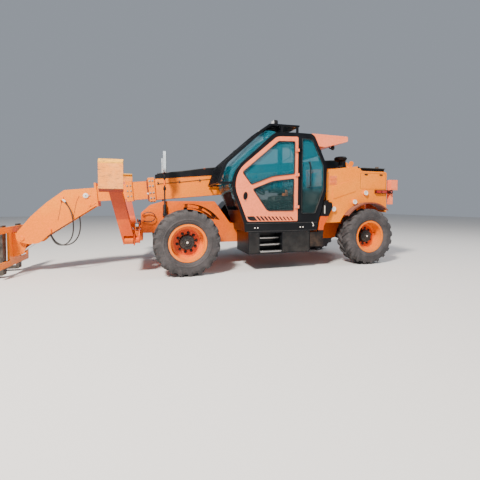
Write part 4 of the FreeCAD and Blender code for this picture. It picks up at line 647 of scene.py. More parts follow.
# a box with round edges: a sphere's normals carry eight corner balls, and flats span between them
def roundBox(low, high, edge=5.0, steps=3):
    low, high = np.asarray(low, float), np.asarray(high, float)
    middle, half = (low + high) / 2, (high - low) / 2
    edge = min(edge, half.min() * 0.98)
    quarter = np.linspace(0, np.pi / 2, steps)
    around = np.concatenate([quarter + k * np.pi / 2 for k in range(4)])[None, :]
    up = np.concatenate([quarter - np.pi / 2, quarter])[:, None]
    signs = (np.repeat([1, -1, -1, 1], steps)[None, :], np.repeat([1, 1, -1, -1], steps)[None, :],
             np.repeat([-1, 1], steps)[:, None])
    ball = (np.cos(up) * np.cos(around), np.cos(up) * np.sin(around), np.sin(up))
    normal, corner = (np.stack(np.broadcast_arrays(*values, np.zeros((2 * steps, 4 * steps)))[:3], -1)
                      for values in (ball, signs))
    return capped(middle + corner * (half - edge) + normal * edge)


# chunks of several finishes become one object: doubles merged, faces turned outwards;
# most pieces are black plastic and ride on the chassis
def makePiece(name, parts, body="chassis", place=drawn, sharp=38, replaces=()):
    points, faces, kinds, start = [], [], [], 0
    for kind, (_, chunks) in enumerate(parts):
        for chunk, quads in chunks:
            points.append(chunk)
            faces += [[k + start for k in face] for face in quads]
            kinds += [kind] * len(quads)
            start += len(chunk)
    mesh = bpy.data.meshes.new(name)
    mesh.from_pydata(place(np.vstack(points)).tolist(), [], faces)
    mesh.polygons.foreach_set("material_index", kinds)
    work = bmesh.new()
    work.from_mesh(mesh)
    bmesh.ops.remove_doubles(work, verts=work.verts, dist=1e-5)
    bmesh.ops.dissolve_degenerate(work, edges=work.edges, dist=1e-6)
    bmesh.ops.recalc_face_normals(work, faces=work.faces)
    work.to_mesh(mesh)
    work.free()
    for finish, _ in parts:
        mesh.materials.append(finishes[finish])
    mesh.shade_smooth()
    mesh.set_sharp_from_angle(angle=math.radians(sharp))
    piece = addObject(name, mesh)
    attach(piece, body)
    if replaces:
        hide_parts(*replaces)
    return piece


# the same chunks on the machine's other side
def flipped(parts):
    return [(finish, [(points * (1, -1, 1), faces) for points, faces in chunks]) for finish, chunks in parts]


# points given off a face: along, out of the face, up
def offFace(face, rows):
    return [(x, face + out, z) for x, out, z in rows]


# tyre section, one half, from the middle outwards. Crown: out and radius between lugs, out and radius on a lug,
# share of the lug's sweep, half its width in degrees. Wall: out and radius, the same all round
tyre = {"around": 480, "lugs": 20, "sweep": 16.0, "blend": 1.1, "crown": [
    (0, 543, 0, 543, 0, 2.4), (2, 543, 4, 570, 0.01, 2.4), (6, 543, 9, 575, 0.04, 2.5), (30, 543, 30, 575, 0.17, 2.6),
    (60, 542.5, 60, 575, 0.33, 2.7), (90, 542, 90, 574.5, 0.49, 2.8), (120, 541.5, 120, 574, 0.64, 2.95),
    (140, 541, 145, 573, 0.74, 3.1), (156, 537, 160, 570, 0.82, 3.2), (168, 529, 171, 561, 0.88, 3.3),
    (180, 516, 181, 546, 0.93, 3.4), (188, 500, 190, 521, 0.97, 3.6), (193, 484, 197, 498, 1.0, 3.9),
    (196, 470, 199, 478, 1.0, 4.0)], "wall": [
    (197, 456), (197, 446), (199.8, 443), (199.8, 436), (197.4, 433), (197.4, 410), (199.6, 406), (199.4, 400),
    (196, 396), (192.5, 380), (190, 376), (190, 368), (186, 364), (180, 350), (172, 340), (162, 332.5),
    (151.5, 328), (151.2, 303.7)]}


# wheel millimetres (along, out from the wheel's middle, up from its axle) to metres
def onWheel(station, hand):
    def place(points):
        p = np.asarray(points, float)
        x = p[..., 0] + station + frontAxle
        return np.stack([x, hand * (wheelMiddle + p[..., 1]), p[..., 2] + axleHeight], -1) / 1000
    return place


# a surface of revolution whose section is mixed, by angle, between the carcass and a lug:
# the lug's middle lags behind with the distance out, and the two halves are half a pitch apart
def tyreSurface(spec):
    rows = np.array(spec["crown"] + [(out, radius, out, radius, 1, 4) for out, radius in spec["wall"]])
    left = np.c_[rows, np.zeros(len(rows))]
    right = np.c_[rows * (-1, 1, -1, 1, 1, 1), np.full(len(rows), 0.5)][1:]
    out, low, lugOut, high, share, wide, shift = np.vstack([right[::-1], left]).T[:, None, :]
    pitch = 360 / spec["lugs"]
    turn = np.linspace(0, 360, spec["around"], endpoint=False)[:, None]
    away = (turn - shift * pitch + pitch / 2) % pitch - pitch / 2
    lug = np.clip((wide + spec["blend"] - np.abs(away)) / spec["blend"], 0, 1)
    angle = np.radians(turn - spec["sweep"] * share)
    radius = low + (high - low) * lug
    reach = out + (lugOut - out) * lug
    points = np.stack([-radius * np.sin(angle), np.broadcast_to(reach, radius.shape), radius * np.cos(angle)], -1)
    return gridOf(points, wrapRows=True, wrapColumns=True)


# screws: count, circle, distance out, across flats, height; sections: radius, distance out
hub = {
    "screws": [(10, 168, -24, 33, 26), (8, 98, 52, 19, 12), (6, 50, 70, 13, 8)],
    "stud": [(0, 0), (9, 0), (9, 38), (7, 41), (0, 41)],
    "cover": [(120, 52), (126, 46), (128.5, 30), (128.5, 22), (131, 20), (131, 8), (128.4, 6), (128.4, -23),
              (134, -24), (128, -24)],
    "dome": [(0, 70), (33, 70), (33, 76), (28, 80), (0, 80)],
    "cap": [(0, 80), (19, 80), (19, 82), (15, 85), (6, 87), (0, 87)],
    "valve": [(236, -20, 60), (240, 10, 62), (236, 34, 70), (230, 52, 76)],
}


# planet-drive cover, a stepped dome with a raised rim, inside circles of studs and bolts
def hubDress(spec):
    black = [revolve(spec["cover"], steps=48, ring=True), revolve(spec["dome"]),
             cable(spec["valve"], 5, 5.5, 12, lengthways)]
    for count, radius, out, across, high in spec["screws"]:
        for turn in (roundTurn(count) + wholeTurn * 0.25 / count):
            at = (radius * math.cos(turn), out, radius * math.sin(turn))
            black += bolt(at, "y", 1, across, high)
            if out < 0:
                black.append(revolve(spec["stud"], at, "y", 12))
    return [("nutBlack", black), ("paleCap", [revolve(spec["cap"], steps=28)])]


def makeWheels():
    for name, (station, hand) in wheels.items():
        place = onWheel(station, hand)
        makePiece("tyre_" + name + "_tread", [("tyreRubber", [tyreSurface(tyre)])], "wheel_" + name, place,
                  30, ["tyre_" + name])
        makePiece("hub_" + name, hubDress(hub), "wheel_" + name, place, 35)
    print("wheels dressed:", len(wheels))


makeWheels()

# outlines in the side plane as in the drawing: x, z, corner radius; other rows: along, out of the face, up
door = {
    "leaf": [(1072, 925, 50), (758, 1735, 500), (1650, 2492, 180), (2084, 2514, 30), (2074, 920, 25)],
    "upper": [(970, 1815, 45), (1675, 2412, 60), (2018, 2428, 25), (2012, 1812, 25), (1560, 1752, 600),
              (1140, 1590, 40)],
    "lower": [(1165, 1515, 30), (1560, 1672, 600), (2000, 1728, 25), (1992, 1113, 25), (1450, 1113, 110)],
    "handle": (1030, 1391), "grip": [(5, -6, 58), (4, -17, 40), (0, -19, 0), (-4, -17, -38), (-5, -6, -56)],
    "pull": [(1180, 40, 1560), (1185, 78, 1590), (1300, 82, 1640), (1420, 78, 1690), (1425, 40, 1700)],
    "hinges": (1160, 1767, 2229), "hingeAt": 2040,
    "hatch": {"low": 938, "high": 1020, "slant": 70, "start": 1226, "pitch": 76, "count": 10, "wide": 46, "thin": 2.4},
}


def doorDress(spec):
    face = cabFace
    seal, black, shine = [], [], []
    for name in ("upper", "lower"):
        pane = rounded(spec[name], 12)
        seal.append(bead(inset(pane, 10), face - 1, bar(8, 30, 2)))
        seal.append(bead(inset(pane, 16), face + 34, bar(10, 14, 2)))
    seal.append(bead(inset(rounded(spec["leaf"], 14), -5), face + 8, circle(7, 10)))
    # recessed pull: an oval tray with a raised rim, a grip across it, and a lock below
    x, z = spec["handle"]
    turn = roundTurn(40)
    oval = np.stack([x + 41 * np.cos(turn) + 8 * np.sin(turn), z + 72 * np.sin(turn)], -1)
    black.append(slab(oval, face - 5, face + 2, "y", 2))
    seal.append(bead(inset(oval, 4), face - 6, circle(4, 10)))
    black.append(strap(np.array(spec["grip"]) + (x, face, z), 6, 26, 9, 3, lengthways))
    shine.append(revolve([(0, -9), (9, -9), (10, -7), (10, 0)], (x + 2, face, z - 88), "y", 20))
    # slanting stripes in the foot, each a little narrower and lower than the one before
    stripe = spec["hatch"]
    low, high, slant, top = stripe["low"], stripe["high"], stripe["slant"], face - stripe["thin"]
    black.append(slab([(1058, high), (1196, high), (1196 + slant, low), (1146, low), (1088, low + 20)], top, face + 1))
    for k in range(stripe["count"]):
        left = stripe["start"] + stripe["pitch"] * k
        right = left + stripe["wide"] * (1 - 0.05 * k)
        drop = (high - low) * (1 - 0.022 * k)
        lean = slant * drop / 80
        foot = [(left, low + drop), (right, low + drop), (right + lean, low), (left + lean, low)]
        black.append(slab(foot, top, face + 1))
    # inner lining and its pull bar
    black.append(roundBox((1180, face + 36, 1000), (1980, face + 44, 1090), 4))
    black.append(cable(offFace(face, spec["pull"]), 6, 10))
    for hinge in spec["hinges"]:
        for dz in (18, 52):
            shine += bolt((spec["hingeAt"], face - 24, hinge + dz), "y", -1, 13, 7)
    return [("gasket", seal), ("mouldedBlack", black), ("boltSteel", shine)]


makePiece("doorTrim", doorDress(door), "door")
print("door trimmed")

cab = {
    "quarter": [(2150, 1060, 30), (2156, 2492, 30), (2385, 2492, 90), (2635, 1990, 230), (2640, 1535, 140),
                (2452, 1060, 40)],
    "seams": [(884, 896, 3, 2500), (738, 748, 4, 2480)], "dots": [(1212, 806), (1268, 806), (2136, 804), (2192, 804)],
    "hookAt": (2388, 850),
    "hook": [(-6, -4, 42), (-2, -16, 34), (8, -20, 12), (22, -20, -8), (18, -20, -26), (0, -19, -28)],
    "treads": (350, 470, 590), "panels": ((1100, 1296), (1764, 2326)), "gauge": (2662, 1045, 1232),
    "filler": [(0, 1276), (34, 1276), (34, 1292), (40, 1294), (40, 1318), (34, 1322), (0, 1322)],
    "rail": [(2320, 12, 1560), (2320, -34, 1580), (2325, -38, 1800), (2320, -34, 2020), (2320, 12, 2040)],
    "motor": [(0, -306), (24, -306), (26, -300), (26, -280)],
    "wiperArm": [(2330, -300, 2470), (2326, -304, 2300), (2290, -304, 2250), (1900, -304, 2050), (1560, -300, 1880)],
    "wiperBlade": [(1490, -296, 1790), (1600, -296, 1930), (1700, -296, 2060)],
    "lampShell": [(0, 2962), (34, 2964), (44, 2978), (46, 2996), (46, 3006), (40, 3008), (0, 3008)],
    "lampGlass": [(0, 3007), (40, 3007), (34, 3013), (0, 3016)],
    "lampBracket": [(2900, 0, 2440), (2910, 0, 2400), (2935, 0, 2384), (2965, 0, 2392)],
    "linings": [((1560, -1080, 2500), (1770, -280, 2516)), ((2290, -1080, 2470), (2480, -280, 2488))],
}


def cabDress(spec):
    face = cabFace
    seal, black, pale, steel, glass = [], [], [], [], []
    ring = inset(rounded(spec["quarter"], 12), 8)
    for depth in (face - 1, face + 44, -229):
        seal.append(bead(ring, depth, bar(8, 26, 2)))
    # skirt screws with pale covers, and the seam strips above and below them
    for x, z in spec["dots"]:
        pale.append(revolve([(0, -7), (8, -7), (12, -4), (13, 0), (13, 2)], (x, face, z), "y", 20))
    for low, high, out, end in spec["seams"]:
        seal.append(roundBox((1050, face - out, low), (end, face + 2, high), 2))
    x, z = spec["hookAt"]
    pale.append(cable(np.array(spec["hook"]) + (x, face, z), 6, 6))
    black.append(roundBox((x - 22, face - 6, z + 26), (x + 12, face + 1, z + 58), 3))
    # step treads: a pale toothed nosing on each
    for level in spec["treads"]:
        front = face + (level - spec["treads"][0]) * 0.5
        steel.append(roundBox((1310, front - 3, level + 2), (1750, front + 14, level + 25), 3))
        for k in range(18):
            left = 1318 + 24 * k
            steel.append(roundBox((left, front - 4, level + 20), (left + 12, front + 62, level + 29), 2, 2))
        for x in (1314, 1738):
            black += bolt((x, front - 3, level + 11), "y", -1, 10, 5)
    # two panels of the step box with their screws
    for x0, x1 in spec["panels"]:
        black.append(slab(plate(x0, x1, 340, 722, 20), face - 4, face + 1, "y", 2))
        for x in (x0 + 24, x1 - 24):
            for z in (366, 696):
                black += bolt((x, face - 4, z), "y", -1, 14, 6)
    # level gauge on the tank's edge, with its two fittings, the bracket beside it and the filler above
    x, low, high = spec["gauge"]
    glass.append(revolve([(0, low), (11, low), (11, high), (0, high)], (x, -1138, 0), "z", 16))
    for level in (low - 10, high - 16):
        black.append(roundBox((x - 17, -1154, level), (x + 17, -1118, level + 26), 4))
    black.append(roundBox((x + 6, -1124, low - 20), (x + 40, -1117, high + 20), 3))
    black.append(revolve(spec["filler"], (2745, -1085, 0), "z", 24))
    black.append(cable(offFace(face, spec["rail"]), 7, 11, 14, lengthways))
    # screen wiper: motor, arm and blade on the far window's inside
    black.append(revolve(spec["motor"], (2330, 0, 2470), "y", 20))
    black.append(strap(spec["wiperArm"], 6, 9, 12, 2))
    black.append(alongPath(spec["wiperBlade"], bar(8, 18, 2)))
    # two lamps under the cowl: a round shell on a bent bracket
    for y in (-900, -420):
        black.append(revolve(spec["lampShell"], (0, y, 2398), "x", 30))
        glass.append(revolve(spec["lampGlass"], (0, y, 2398), "x", 28))
        black.append(strap(offFace(y, spec["lampBracket"]), 5, 26, 6, 1.5))
    for low, high in spec["linings"]:
        black.append(roundBox(low, high, 6))
    return [("gasket", seal), ("mouldedBlack", black), ("paleCap", pale), ("treadSteel", steel), ("gauge", glass)]


makePiece("cabTrim", cabDress(cab))

# beacon's dome: radius, height
roof = {
    "beacon": (2240, -680), "foot": [(0, 2588), (58, 2588), (58, 2604), (50, 2612), (0, 2612)],
    "dome": [(46, 2611), (48, 2614), (47, 2640), (44, 2668), (37, 2684), (22, 2692), (0, 2695)], "ribs": 24,
    "work": (-1047, -315), "yoke": [(-68, 2756), (-70, 2716), (0, 2713), (70, 2716), (68, 2756)],
}


def roofLampDress(spec):
    amber, black, clear, shine = [], [], [], []
    x, y = spec["beacon"]
    black.append(revolve(spec["foot"], (x, y, 0), "z", 36))
    # ribbed dome: the radius swells and shrinks with the angle
    turn = roundTurn(96)[None, :]
    radius, rise = np.array(spec["dome"], float).T[:, :, None]
    radius = radius * (1 + 0.022 * np.cos(spec["ribs"] * turn))
    dome = np.stack([x + radius * np.cos(turn), y + radius * np.sin(turn), np.broadcast_to(rise, radius.shape)], -1)
    amber.append(gridOf(dome, wrapColumns=True, capStart=True))
    # work lamps: shell, yoke, reflector's rim, lens and cooling ribs behind
    for mid in spec["work"]:
        black.append(roundBox((1596, mid - 64, 2716), (1666, mid + 64, 2800), 12, 4))
        black.append(alongPath([(1630, mid + out, z) for out, z in spec["yoke"]], bar(20, 4, 1), lengthways))
        outline = plate(mid - 56, mid + 56, 2724, 2793, 14)
        shine.append(bead(outline, 1594, circle(4, 8), "x"))
        clear.append(slab(outline, 1589, 1598, "x", 3))
        for k in range(7):
            black.append(roundBox((1664, mid - 50 + 16 * k, 2722), (1676, mid - 46 + 16 * k, 2792), 1.5, 2))
    return [("lensAmber", amber), ("mouldedBlack", black), ("lensClear", clear), ("reflector", shine)]


makePiece("roofLamps", roofLampDress(roof), replaces=["roof_lamps"])

mirror = {"pole": (-347, -440, 0), "clamps": ((1500, 1560, 26), (1716, 1776, 24), (1812, 1836, 22)),
          "band": [(14, 1590), (19, 1592), (19, 1690), (14, 1692)], "boot": (1065, 1235)}


# a mirror on each side: its glass and rim, the clamps and the folded boot on its pole
def mirrorDress(spec):
    outline = plate(-536, -344, 1840, 2225, 84, 9)
    shine = [slab(inset(outline, 12), -323, -319, "x", 1), slab(inset(outline, 26), -376, -371, "x", 2)]
    black = [bead(inset(outline, 5), -321, circle(6, 10), "x")]
    for low, high, r in spec["clamps"]:
        black.append(revolve([(14, low), (r, low + 4), (r, high - 4), (14, high)], spec["pole"], "z", 24))
    # boot: the radius falls with the square of the height and waves seven times
    low, high = spec["boot"]
    share = np.linspace(0, 1, 41)
    boot = 34 - 10 * share ** 2 + 3.5 * np.cos(share * wholeTurn * 7)
    black.append(revolve(np.c_[boot, low + share * (high - low)], spec["pole"], "z", 32))
    band = revolve(spec["band"], spec["pole"], "z", 20)
    return [("mirrorGlass", shine), ("mouldedBlack", black), ("frameOrange", [band])]


leftMirror = mirrorDress(mirror)
makePiece("mirrorFittings", leftMirror + flipped(leftMirror))
print("cab trimmed")

# seat cushions in the drawing's side plane, with a width across; each starts slim and swells
seat = {
    "middle": -680, "voxel": 0.006, "pressure": 4.0, "cap": 0.024, "stiffness": 12, "bending": 0.4, "moments": 20,
    "squab": {"line": [(1718, 1352), (1760, 1356), (1900, 1346), (2060, 1340), (2190, 1344), (2236, 1356)],
              "wide": 452, "thick": 78, "bolster": 16, "fill": 0.7},
    "back": {"line": [(2222, 1400), (2236, 1500), (2250, 1650), (2262, 1800), (2272, 1930), (2276, 1984)],
             "wide": 440, "thick": 78, "bolster": 14, "fill": 0.7},
    "headrest": {"line": [(2278, 2012), (2282, 2060), (2286, 2120), (2290, 2176)],
                 "wide": 238, "thick": 66, "bolster": 0, "fill": 0.8},
    "arm": [(2236, 238, 1500), (2220, 246, 1560), (2080, 248, 1584), (1900, 248, 1590), (1860, 248, 1588)],
    "belt": [(2196, -236, 1400), (2200, -232, 1430), (2206, -200, 1440)],
    "stick": [(7, 1600), (7, 1650), (15, 1662), (19, 1690), (18, 1716), (10, 1728), (0, 1730)], "stickAt": (1870, 306),
}


def cushionLine(part):
    return smoothLine([(x, 0, z) for x, z in part["line"]], 10)


# a cushion: a middle line in the side plane; across it the edge is a rounded box (a power of the turn's cosine),
# the ends close in the same way, and the two bolsters rise as the fourth power of the distance out
def cushionGrid(part, middle):
    line = cushionLine(part)
    tangent = np.gradient(line, axis=0)
    tangent /= np.linalg.norm(tangent, axis=1)[:, None]
    over = np.cross(-sideways, tangent)
    over *= -1 if over[len(over) // 2, 2] < 0 or over[len(over) // 2, 0] > 0 else 1
    close = (1 - np.abs(np.linspace(-1, 1, len(line))) ** 7)[:, None] ** 0.35
    turn = roundTurn(56)[None, :]
    half = part["wide"] / 2
    across = np.sign(np.cos(turn)) * np.abs(np.cos(turn)) ** 0.42 * half * (0.86 + 0.14 * close)
    rise = np.sign(np.sin(turn)) * np.abs(np.sin(turn)) ** 0.55 * (part["thick"] / 2) * close
    rise = rise + part["bolster"] * (np.abs(across) / half) ** 4 * (np.sin(turn) > 0) * close
    points = line[:, None] + over[:, None] * rise[..., None]
    points[..., 1] += middle + across
    return capped(points)


def bakeMesh(piece):
    mesh = bpy.data.meshes.new_from_object(piece.evaluated_get(bpy.context.evaluated_depsgraph_get()))
    old = piece.data
    piece.modifiers.clear()
    piece.data = mesh
    bpy.data.meshes.remove(old)
    mesh.name = piece.name


def pointsOf(mesh):
    points = np.empty(len(mesh.vertices) * 3)
    mesh.vertices.foreach_get("co", points)
    return points.reshape(-1, 3)


# cloth blown up from inside, each point kept within the cap, then one subdivision
def padCushion(name, spec, part, replaces=()):
    chunks = [cushionGrid(part, spec["middle"])]
    piece = makePiece(name, [("seatCloth", chunks)], sharp=180, replaces=replaces)
    remesh = piece.modifiers.new("remesh", "REMESH")
    remesh.mode = "VOXEL"
    remesh.voxel_size = spec["voxel"]
    bakeMesh(piece)
    rest = pointsOf(piece.data)
    settings = piece.modifiers.new("cloth", "CLOTH").settings
    settings.use_pressure = True
    settings.uniform_pressure_force = spec["pressure"]
    settings.effector_weights.gravity = 0
    settings.quality = 5
    settings.tension_stiffness = settings.compression_stiffness = spec["stiffness"]
    settings.bending_stiffness = spec["bending"]
    scene = bpy.context.scene
    for moment in range(1, spec["moments"] + 1):
        scene.frame_set(moment)
    move = pointsOf(piece.evaluated_get(bpy.context.evaluated_depsgraph_get()).data) - rest
    far = np.linalg.norm(move, axis=1)[:, None] + 1e-9
    piece.modifiers.clear()
    piece.data.vertices.foreach_set("co", (rest + move * np.minimum(1, spec["cap"] / far)).ravel())
    scene.frame_set(1)
    finer = piece.modifiers.new("finer", "SUBSURF")
    finer.levels = finer.render_levels = 1
    piece.data.shade_smooth()


def seatFrame(spec):
    black, steel = [], []
    y = spec["middle"]
    # suspension boot: a folded box whose width waves with the height
    rise = np.linspace(930, 1286, 73)
    wave = 6 * np.cos((rise - 930) / 356 * wholeTurn * 9)
    outline = rounded([(1808, y - 192, 40), (1808, y + 192, 40), (2172, y + 192, 40), (2172, y - 192, 40)], 6)
    out = outline - outline.mean(0)
    out /= np.linalg.norm(out, axis=1)[:, None]
    flat = outline[None] + out[None] * (wave - 8)[:, None, None]
    black.append(capped(np.dstack([flat, np.broadcast_to(rise[:, None], flat.shape[:2])])))
    black.append(roundBox((1790, y - 200, 1280), (2200, y + 200, 1306), 8))
    for side in (-1, 1):
        black.append(strap([(x, y + side * out, z) for x, out, z in spec["arm"]], 8, 46, 40, 12))
        pivot = [(0, side * 226), (34, side * 226), (34, side * 240), (0, side * 240)]
        black.append(revolve(pivot, (2240, y, 1420), "y", 24))
        steel.append(cable([(2288, y + side * 60, 1960), (2290, y + side * 60, 2030)], 3, 6))
        steel.append(strap([(1800, y + side * 150, 1272), (2200, y + side * 150, 1272)], 3, 14, 10, 2))
    # joystick with a folded boot on the right arm's box
    black.append(roundBox((1800, y + 262, 1480), (2160, y + 350, 1560), 18, 4))
    x, stickOut = spec["stickAt"]
    share = np.linspace(0, 1, 25)
    boot = np.c_[30 - 14 * share + 2.5 * np.cos(share * wholeTurn * 5), 1558 + 50 * share]
    black.append(revolve(boot, (x, y + stickOut, 0), "z", 24))
    black.append(revolve(spec["stick"], (x, y + stickOut, 0), "z", 20))
    belt = strap(offFace(y, spec["belt"]), 5, 42, 4, 1)
    return [("mouldedBlack", black), ("boltSteel", steel), ("gasket", [belt])]


def makeSeat(spec):
    padCushion("seatSquab", spec, spec["squab"], ["seat"])
    padCushion("seatBack", spec, spec["back"])
    padCushion("seatHeadrest", spec, spec["headrest"])
    makePiece("seatFrame", seatFrame(spec))
    # piping along the cushions' edges
    piping = []
    for part in (spec["squab"], spec["back"]):
        for side in (-1, 1):
            out = spec["middle"] + side * (part["wide"] / 2 + 12)
            piping.append(alongPath(cushionLine(part)[4:-4] + out * sideways, circle(4, 8)))
    makePiece("seatPiping", [("gasket", piping)])
    print("seat padded")


makeSeat(seat)

controls = {
    "wheelAt": (1410, 1555), "lean": math.radians(38), "radius": 185,
    "boss": [(0, -12), (46, -12), (50, 0), (40, 12), (0, 14)],
    "stalk": [(1270, 30, 1420), (1290, 90, 1440), (1310, 168, 1458)],
    "knob": [(0, 1440), (11, 1444), (12, 1470), (0, 1476)],
    "pedalArm": [(1322, 0, 928), (1318, 0, 980), (1334, 0, 1010)], "pedals": (-120, 0, 120),
}


# steering wheel's rim and boss, stalks, display, pedals and a ribbed floor mat
def controlDress(spec):
    y = seat["middle"]
    x, z = spec["wheelAt"]
    steel = []
    normal = np.array([math.sin(spec["lean"]), 0, math.cos(spec["lean"])])
    forward = np.array([math.cos(spec["lean"]), 0, -math.sin(spec["lean"])])
    rim = circle(spec["radius"], 120) @ np.array([forward, sideways]) + (x, y, z)
    hubAt = np.array([x, y, z]) + normal * 10
    black = [alongPath(rim, circle(16.5, 12), normal, closed=True), revolve(spec["boss"], hubAt, "z", 28)]
    for side in (-1, 1):
        black.append(cable([(px, y + side * out, pz) for px, out, pz in spec["stalk"]], 6, 6, 12, upwards))
        black.append(revolve(spec["knob"], (1310, y + side * 170, 0), "z", 16))
    screen = slab(plate(y - 120, y + 10, 1436, 1520, 12, 4), 1150, 1172, "x", 4)
    for dy in spec["pedals"]:
        steel.append(roundBox((1330, y + dy - 34, 962), (1344, y + dy + 34, 1052), 5))
        black.append(cable(offFace(y + dy, spec["pedalArm"]), 4, 7))
    black.append(roundBox((1300, y - 300, 922), (1790, y + 300, 932), 4))
    for k in range(9):
        black.append(roundBox((1320 + 50 * k, y - 280, 930), (1342 + 50 * k, y + 280, 936), 2, 2))
    return [("mouldedBlack", black), ("boltSteel", steel), ("lensClear", [screen])]


makePiece("cabControls", controlDress(controls))
print("cab fitted out")

# fittings of the left side; the right side is its mirror
hood = {
    "bosses": [(2905, 1145), (3406, 1287), (3675, 1475)],
    "bossCap": [(0, -1094), (30, -1093), (36, -1097), (44, -1097), (48, -1092), (48, -1084)],
    "lid": [(3560, 1560, 20), (3560, 1890, 30), (4210, 1890, 20), (4210, 1560, 20)], "latches": (3700, 4080),
    "screws": [(2790, 1110), (2790, 1500), (2790, 1870), (4190, 1180), (4190, 1500)],
    "louvre": [(2800, 2, 0), (2840, -6, 2), (2960, -7, 4), (3000, 2, 6)], "louvres": np.arange(1640, 1800, 26),
    "lenses": ((3935, 4060), (4075, 4200)), "roundLamp": (4290, 0, 1504),
    "lampRing": [(0, -1126), (20, -1126), (24, -1130), (33, -1130), (36, -1124), (43, -1124), (43, -1112), (38, -1110)],
    "lampLens": [(0, -1134), (14, -1132), (19, -1128), (19, -1122)], "rearLenses": (1570, 1662),
    "filler": [(0, 2016), (44, 2016), (50, 2010), (50, 1990), (38, 1986), (38, 1925)], "fillerAt": (3180, -900, 20),
}


def hoodSide(spec):
    pale, black, steel, red, orange = [], [], [], [], []
    face = hoodFace
    for x, z in spec["bosses"]:
        # dished cap with a raised rim and a slot
        pale.append(revolve(spec["bossCap"], (x, 0, z), "y", 36))
        black.append(roundBox((x - 20, -1096, z - 3), (x + 20, -1092, z + 3), 1.2, 2))
    # side lid's seam, its two paddle latches, and the seam to the tank
    black.append(bead(rounded(spec["lid"], 5), face, bar(3, 6, 1)))
    for x in spec["latches"]:
        black.append(slab(plate(x - 42, x + 42, 1846, 1874, 14), face - 7, face + 1, "y", 2))
        black.append(roundBox((x - 26, face - 14, 1850), (x + 26, face - 5, 1864), 3))
    black.append(roundBox((2745, face - 3, 1070), (2752, face + 2, 1890), 1.2, 2))
    for x, z in spec["screws"]:
        steel += bolt((x, face, z), "y", -1, 15, 7)
    # cooling louvres pressed into the front of the hood's side
    for z in spec["louvres"]:
        orange.append(strap(np.array(spec["louvre"]) + (0, face, z), 5, 9, 5, 1.5))
    # lamp bar: two lenses in rims, a round lamp with rings, and lenses on the board
    for x0, x1 in spec["lenses"]:
        rim = plate(x0, x1, 1478, 1530, 10, 4)
        red.append(slab(rim, face - 46, face - 38, "y", 3))
        black.append(bead(rim, face - 42, circle(3.5, 8)))
    black.append(revolve(spec["lampRing"], spec["roundLamp"], "y", 36))
    red.append(revolve(spec["lampLens"], spec["roundLamp"], "y", 24))
    orange.append(slab(plate(4318, 4460, 1566, 1738, 12, 4), face - 49, face - 44, "y", 2))
    for z in spec["rearLenses"]:
        red.append(slab(plate(-1082, -1004, z, z + 80, 8, 4), 4471, 4477.9, "x", 2))
    return [("paleCap", pale), ("mouldedBlack", black), ("boltSteel", steel), ("lensRed", red), ("cowlSalmon", orange)]


# flat lids with raised ribs, and a filler cap with teeth
def hoodTop(spec):
    black = []
    for low, high in ((-990, -520), (520, 990)):
        for x in range(3680, 4200, 88):
            black.append(roundBox((x, low, 2000), (x + 40, high, 2009), 3, 2))
    black.append(revolve(spec["filler"], spec["fillerAt"], "z", 30))
    for px, py in circle(50, 12) + spec["fillerAt"][:2]:
        black.append(roundBox((px - 4, py - 4, 2012), (px + 4, py + 4, 2034), 2, 2))
    return [("mouldedBlack", black)]


leftHood = hoodSide(hood)
makePiece("hoodFittings", leftHood + flipped(leftHood))
makePiece("hoodTopFittings", hoodTop(hood))

stack = {"pipe": (4285, -700), "low": 1640, "high": 1960, "rings": 10, "clamps": (1616, 1972)}


# exhaust: a shield round the pipe whose radius waves with the height, and two clamps
def stackDress(spec):
    x, y = spec["pipe"]
    low, high = spec["low"], spec["high"]
    rise = np.linspace(low, high, 65)
    swell = 42 + 2.2 * np.cos((rise - low) / (high - low) * wholeTurn * spec["rings"])
    shield = revolve(np.vstack([[(37, low)], np.c_[swell, rise], [(37, high)]]), (x, y, 0), "z", 36)
    black = []
    for level in spec["clamps"]:
        black.append(revolve([(36, 0), (41, 0), (41, 18), (36, 18)], (x, y, level), "z", 30, ring=True))
        black.append(roundBox((x - 8, y - 60, level + 2), (x + 8, y - 38, level + 16), 2, 2))
    return [("exhaustSteel", [shield]), ("nutBlack", black)]


makePiece("exhaustShield", stackDress(stack))

# far side's tank, drawn on the near side and mirrored
tank = {
    "straps": (1190, 2420), "hatch": (1290, 2320, 640, 1190), "ribs": (730, 825, 920, 1015),
    "cap": [(0, 1364), (42, 1362), (50, 1356), (50, 1338), (58, 1334), (58, 1326)], "capAt": (2300, -800, 0),
}


# two straps, a hatch with latches and pressed ribs, and a filler cap
def tankDress(spec):
    black, steel = [], []
    face = hoodFace
    for x in spec["straps"]:
        black.append(slab(plate(x - 32, x + 32, 560, 1280, 8, 4), face - 7, face + 1, "y", 2))
        for z in (600, 920, 1240):
            steel += bolt((x, face - 7, z), "y", -1, 17, 8)
    x0, x1, z0, z1 = spec["hatch"]
    steel.append(bead(plate(x0, x1, z0, z1, 24, 6), face, bar(3, 7, 1)))
    for x in (x0 + 180, x1 - 180):
        steel.append(slab(plate(x - 40, x + 40, z1 - 52, z1 - 26, 12), face - 6, face + 1, "y", 2))
    for z in spec["ribs"]:
        rib = [(x0 + 60, 3, z), (x0 + 100, -6, z), (x1 - 100, -6, z), (x1 - 60, 3, z)]
        black.append(strap(offFace(face, rib), 5, 18, 8, 3))
    black.append(revolve(spec["cap"], spec["capAt"], "z", 30))
    return [("mouldedBlack", black), ("boltSteel", steel)]


makePiece("tankFittings", flipped(tankDress(tank)))
print("hood fitted")

